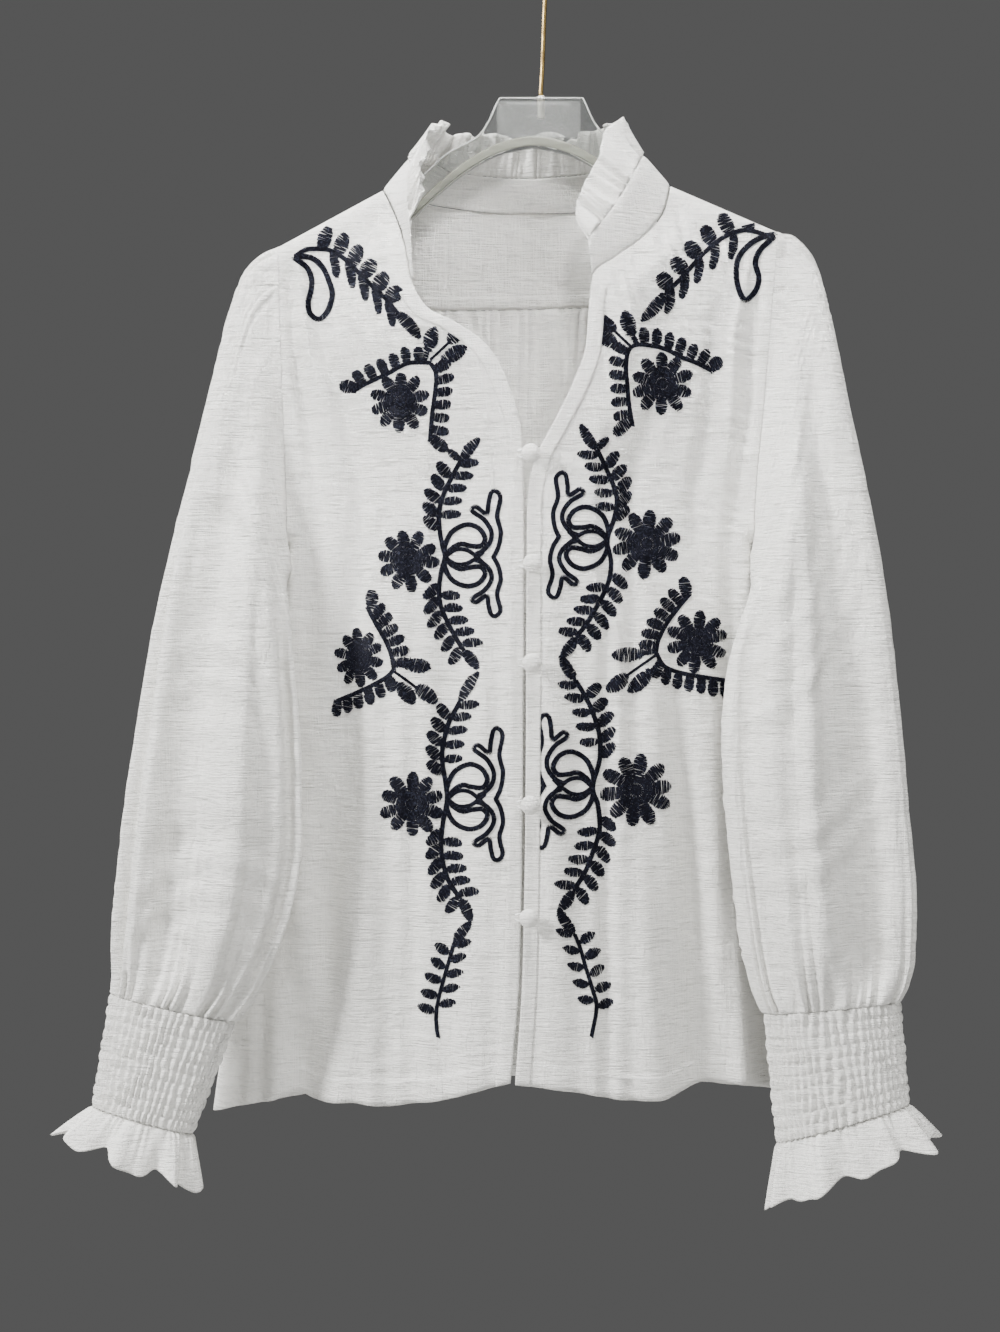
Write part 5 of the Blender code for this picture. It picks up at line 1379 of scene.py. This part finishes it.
def plain_finish(name, base, stretch, rough, bump, colours=None, grain=(2.0, 0.5), **constants):
    """A finish with one grain: its stretch, roughness and what the grain adds, and its bump."""
    finish = Finish(name, Base_Color=base, **constants)
    mark = finish.noise(stretch, (0, 0, 0), *grain)
    sockets = dict(Roughness=rough[0] + mark * rough[1])
    if colours:
        sockets["Base_Color"] = finish.mix(mark, *colours)
    if bump:
        sockets["Normal"] = finish.bump(mark, *bump)
    return finish.feed(**sockets)


def white_thread():
    return plain_finish("white_thread", (0.88, 0.88, 0.86, 1), (1900, 1900, 1900), (0.5, 0.25),
                        (0.0001, 0.5), grain=(1.0, 0.5))


def clear_acrylic():
    """Clear acrylic with a few soft handling marks in its polish."""
    finish = Finish("clear_acrylic_polished", Base_Color=(0.94, 0.96, 0.94, 1), Roughness=0.03,
                    IOR=1.49, Transmission_Weight=0.96)
    marks = finish.noise((60, 60, 420), (0, 0.6, 0), 3.0, 0.6)
    haze = finish.noise((24, 24, 24), (0, 0, 0), 2.0, 0.5)
    return finish.feed(Roughness=0.015 + finish.ramp(marks, 0.66, 0.78) * 0.08 + haze * 0.02,
                       Normal=finish.bump(haze, 0.0004, 0.3))


def hazy_and_painted_highlight_acrylic(name, colour, alpha):
    """Clear acrylic greyer than the plate in a pad, and a paler one along an edge as a painted
    highlight.
    """
    return plain_finish(name, colour, (40, 40, 40), (0.12, 0.14), (0.0002, 0.4), Alpha=alpha)


def acrylic_edge_painted_shade():
    """A grey sheet for the plate's thick polished edge: painted shade and dark reflections, greyer
    where the edge is seen along its depth.
    """
    return plain_finish("acrylic_edge_painted_shade", (0.31, 0.315, 0.27, 1), (30, 30, 260), (0.08, 0.12),
                        (0.0002, 0.4), ((0.15, 0.155, 0.12, 1), (0.34, 0.345, 0.29, 1)),
                        Alpha=0.72)


def brass():
    finish = Finish("brass_wire", Base_Color=(0.62, 0.45, 0.20, 1), Roughness=0.28, Metallic=1.0)
    drawn = finish.noise((2600, 2600, 60), (0, 0, 0), 2.0, 0.5)
    tarnish = finish.ramp(finish.noise((90, 90, 90), (0, 0, 0), 3.0, 0.6), 0.45, 0.75)
    colour = finish.mix(tarnish, (0.40, 0.28, 0.11, 1), (0.20, 0.13, 0.05, 1))
    return finish.feed(Base_Color=colour, Roughness=0.30 + drawn * 0.15 + tarnish * 0.15,
                       Normal=finish.bump(drawn, 0.00006, 0.6))


def ferrule_plastic():
    return plain_finish("ferrule_cream", (0.75, 0.72, 0.62, 1), (260, 260, 260), (0.28, 0.16),
                        (0.0001, 0.4), ((0.80, 0.77, 0.68, 1), (0.66, 0.62, 0.52, 1)), (3.0, 0.6))


def floor_paint():
    return plain_finish("pale_floor", (0.62, 0.62, 0.61, 1), (3, 3, 3), (0.7, 0.15), None,
                        ((0.60, 0.60, 0.59, 1), (0.66, 0.66, 0.65, 1)), (3.0, 0.5))


FLOOR_Z = -1.48          # metres, well below the blouse
FLOOR_SIDES = 96
MIDDLE = (-0.02, 0.0, -0.50)
# Lamps: name, place and aim in metres, diameter, watts and, for the small lamp that
# brightens the inside of the neck, its narrow spread in degrees
LAMPS = (("key", (-2.3, -1.3, 0.9), MIDDLE, 0.7, 168),
         ("fill", (1.9, -1.9, -0.25), MIDDLE, 1.8, 17),
         ("front", (0.2, -2.9, -0.9), MIDDLE, 1.8, 27),
         ("neck", (0.15, -1.7, 0.45), (-0.015, 0.03, -0.27), 0.45, 0.42, 14),
         ("top", (0.1, -0.5, 1.3), MIDDLE, 0.8, 60),
         ("behind", (-1.9, 1.9, 0.7), MIDDLE, 1.6, 85))


def area_light(name, at, aim, size, power, spread=180):
    light = bpy.data.lights.new(name, "AREA")
    light.shape, light.size, light.energy, light.spread = "DISK", size, power, math.radians(spread)
    obj = bpy.data.objects.new(name, light)
    obj.location = at
    obj.rotation_euler = (Vector(aim) - Vector(at)).to_track_quat("-Z", "Y").to_euler()
    obj.visible_transmission = False
    obj.visible_glossy = spread == 180
    bpy.context.scene.collection.objects.link(obj)


def studio():
    """Grey surroundings, soft lamps, a pale round floor well below and the camera."""
    world = bpy.data.worlds.new("grey_studio")
    world.use_nodes = True
    world.node_tree.nodes["Background"].inputs[0].default_value = (0.098, 0.098, 0.098, 1)
    bpy.context.scene.world = world
    for lamp in LAMPS:
        area_light(*lamp)
    verts = [(math.cos(a), math.sin(a), FLOOR_Z) for a in full_turn(FLOOR_SIDES)]
    mesh = bpy.data.meshes.new("studio_floor")
    mesh.from_pydata(verts, [], [list(range(FLOOR_SIDES))])
    mesh.materials.append(floor_paint())
    floor = bpy.data.objects.new("studio_floor", mesh)
    bpy.context.scene.collection.objects.link(floor)
    camera = bpy.data.cameras.new("camera")
    camera.lens, camera.sensor_width, camera.sensor_fit = 63.6, 36.0, "AUTO"
    camera.clip_start = 0.05
    viewer = bpy.data.objects.new("camera", camera)
    viewer.location = CAMERA * MM
    viewer.rotation_euler = (math.pi / 2, 0.0, 0.0)
    bpy.context.scene.collection.objects.link(viewer)
    bpy.context.scene.camera = viewer


def dress():
    body_crepe = crepe("crepe_body")
    sleeve_crepe = {"right": crepe("crepe_right_sleeve", 0.20),
                    "left": crepe("crepe_left_sleeve", -0.16)}
    band_crepe = crepe("crepe_bands", 0.0, 0.6)
    thread, white = navy_thread(), white_thread()
    for side in (RIGHT, LEFT):
        front = make_front(side, body_crepe)
        make_placket(side, band_crepe)
        sleeve = make_sleeve(side, sleeve_crepe[side.name])
        make_cuff(side, band_crepe)
        make_cuff_ruffle(side, band_crepe)
        embroider(front, side, thread)
        topstitch(front, side, white)
    yoke, rear, facing = make_back(body_crepe)
    band, frill = make_collar(band_crepe)
    make_buttons(band_crepe, white)
    # The plate's arch edge gets a band of painted shade and dark reflections.
    make_hanger(clear_acrylic(), acrylic_edge_painted_shade(), ferrule_plastic(), brass())
    # The hazy pad, and the pale lines along the plate's edges, which are painted highlights.
    plate_haze_and_painted_highlights(hazy_and_painted_highlight_acrylic("hazy_pad", (0.40, 0.41, 0.39, 1), 0.18),
                hazy_and_painted_highlight_acrylic("painted_highlight_edge", (0.62, 0.63, 0.60, 1), 0.65))


studio()
dress()
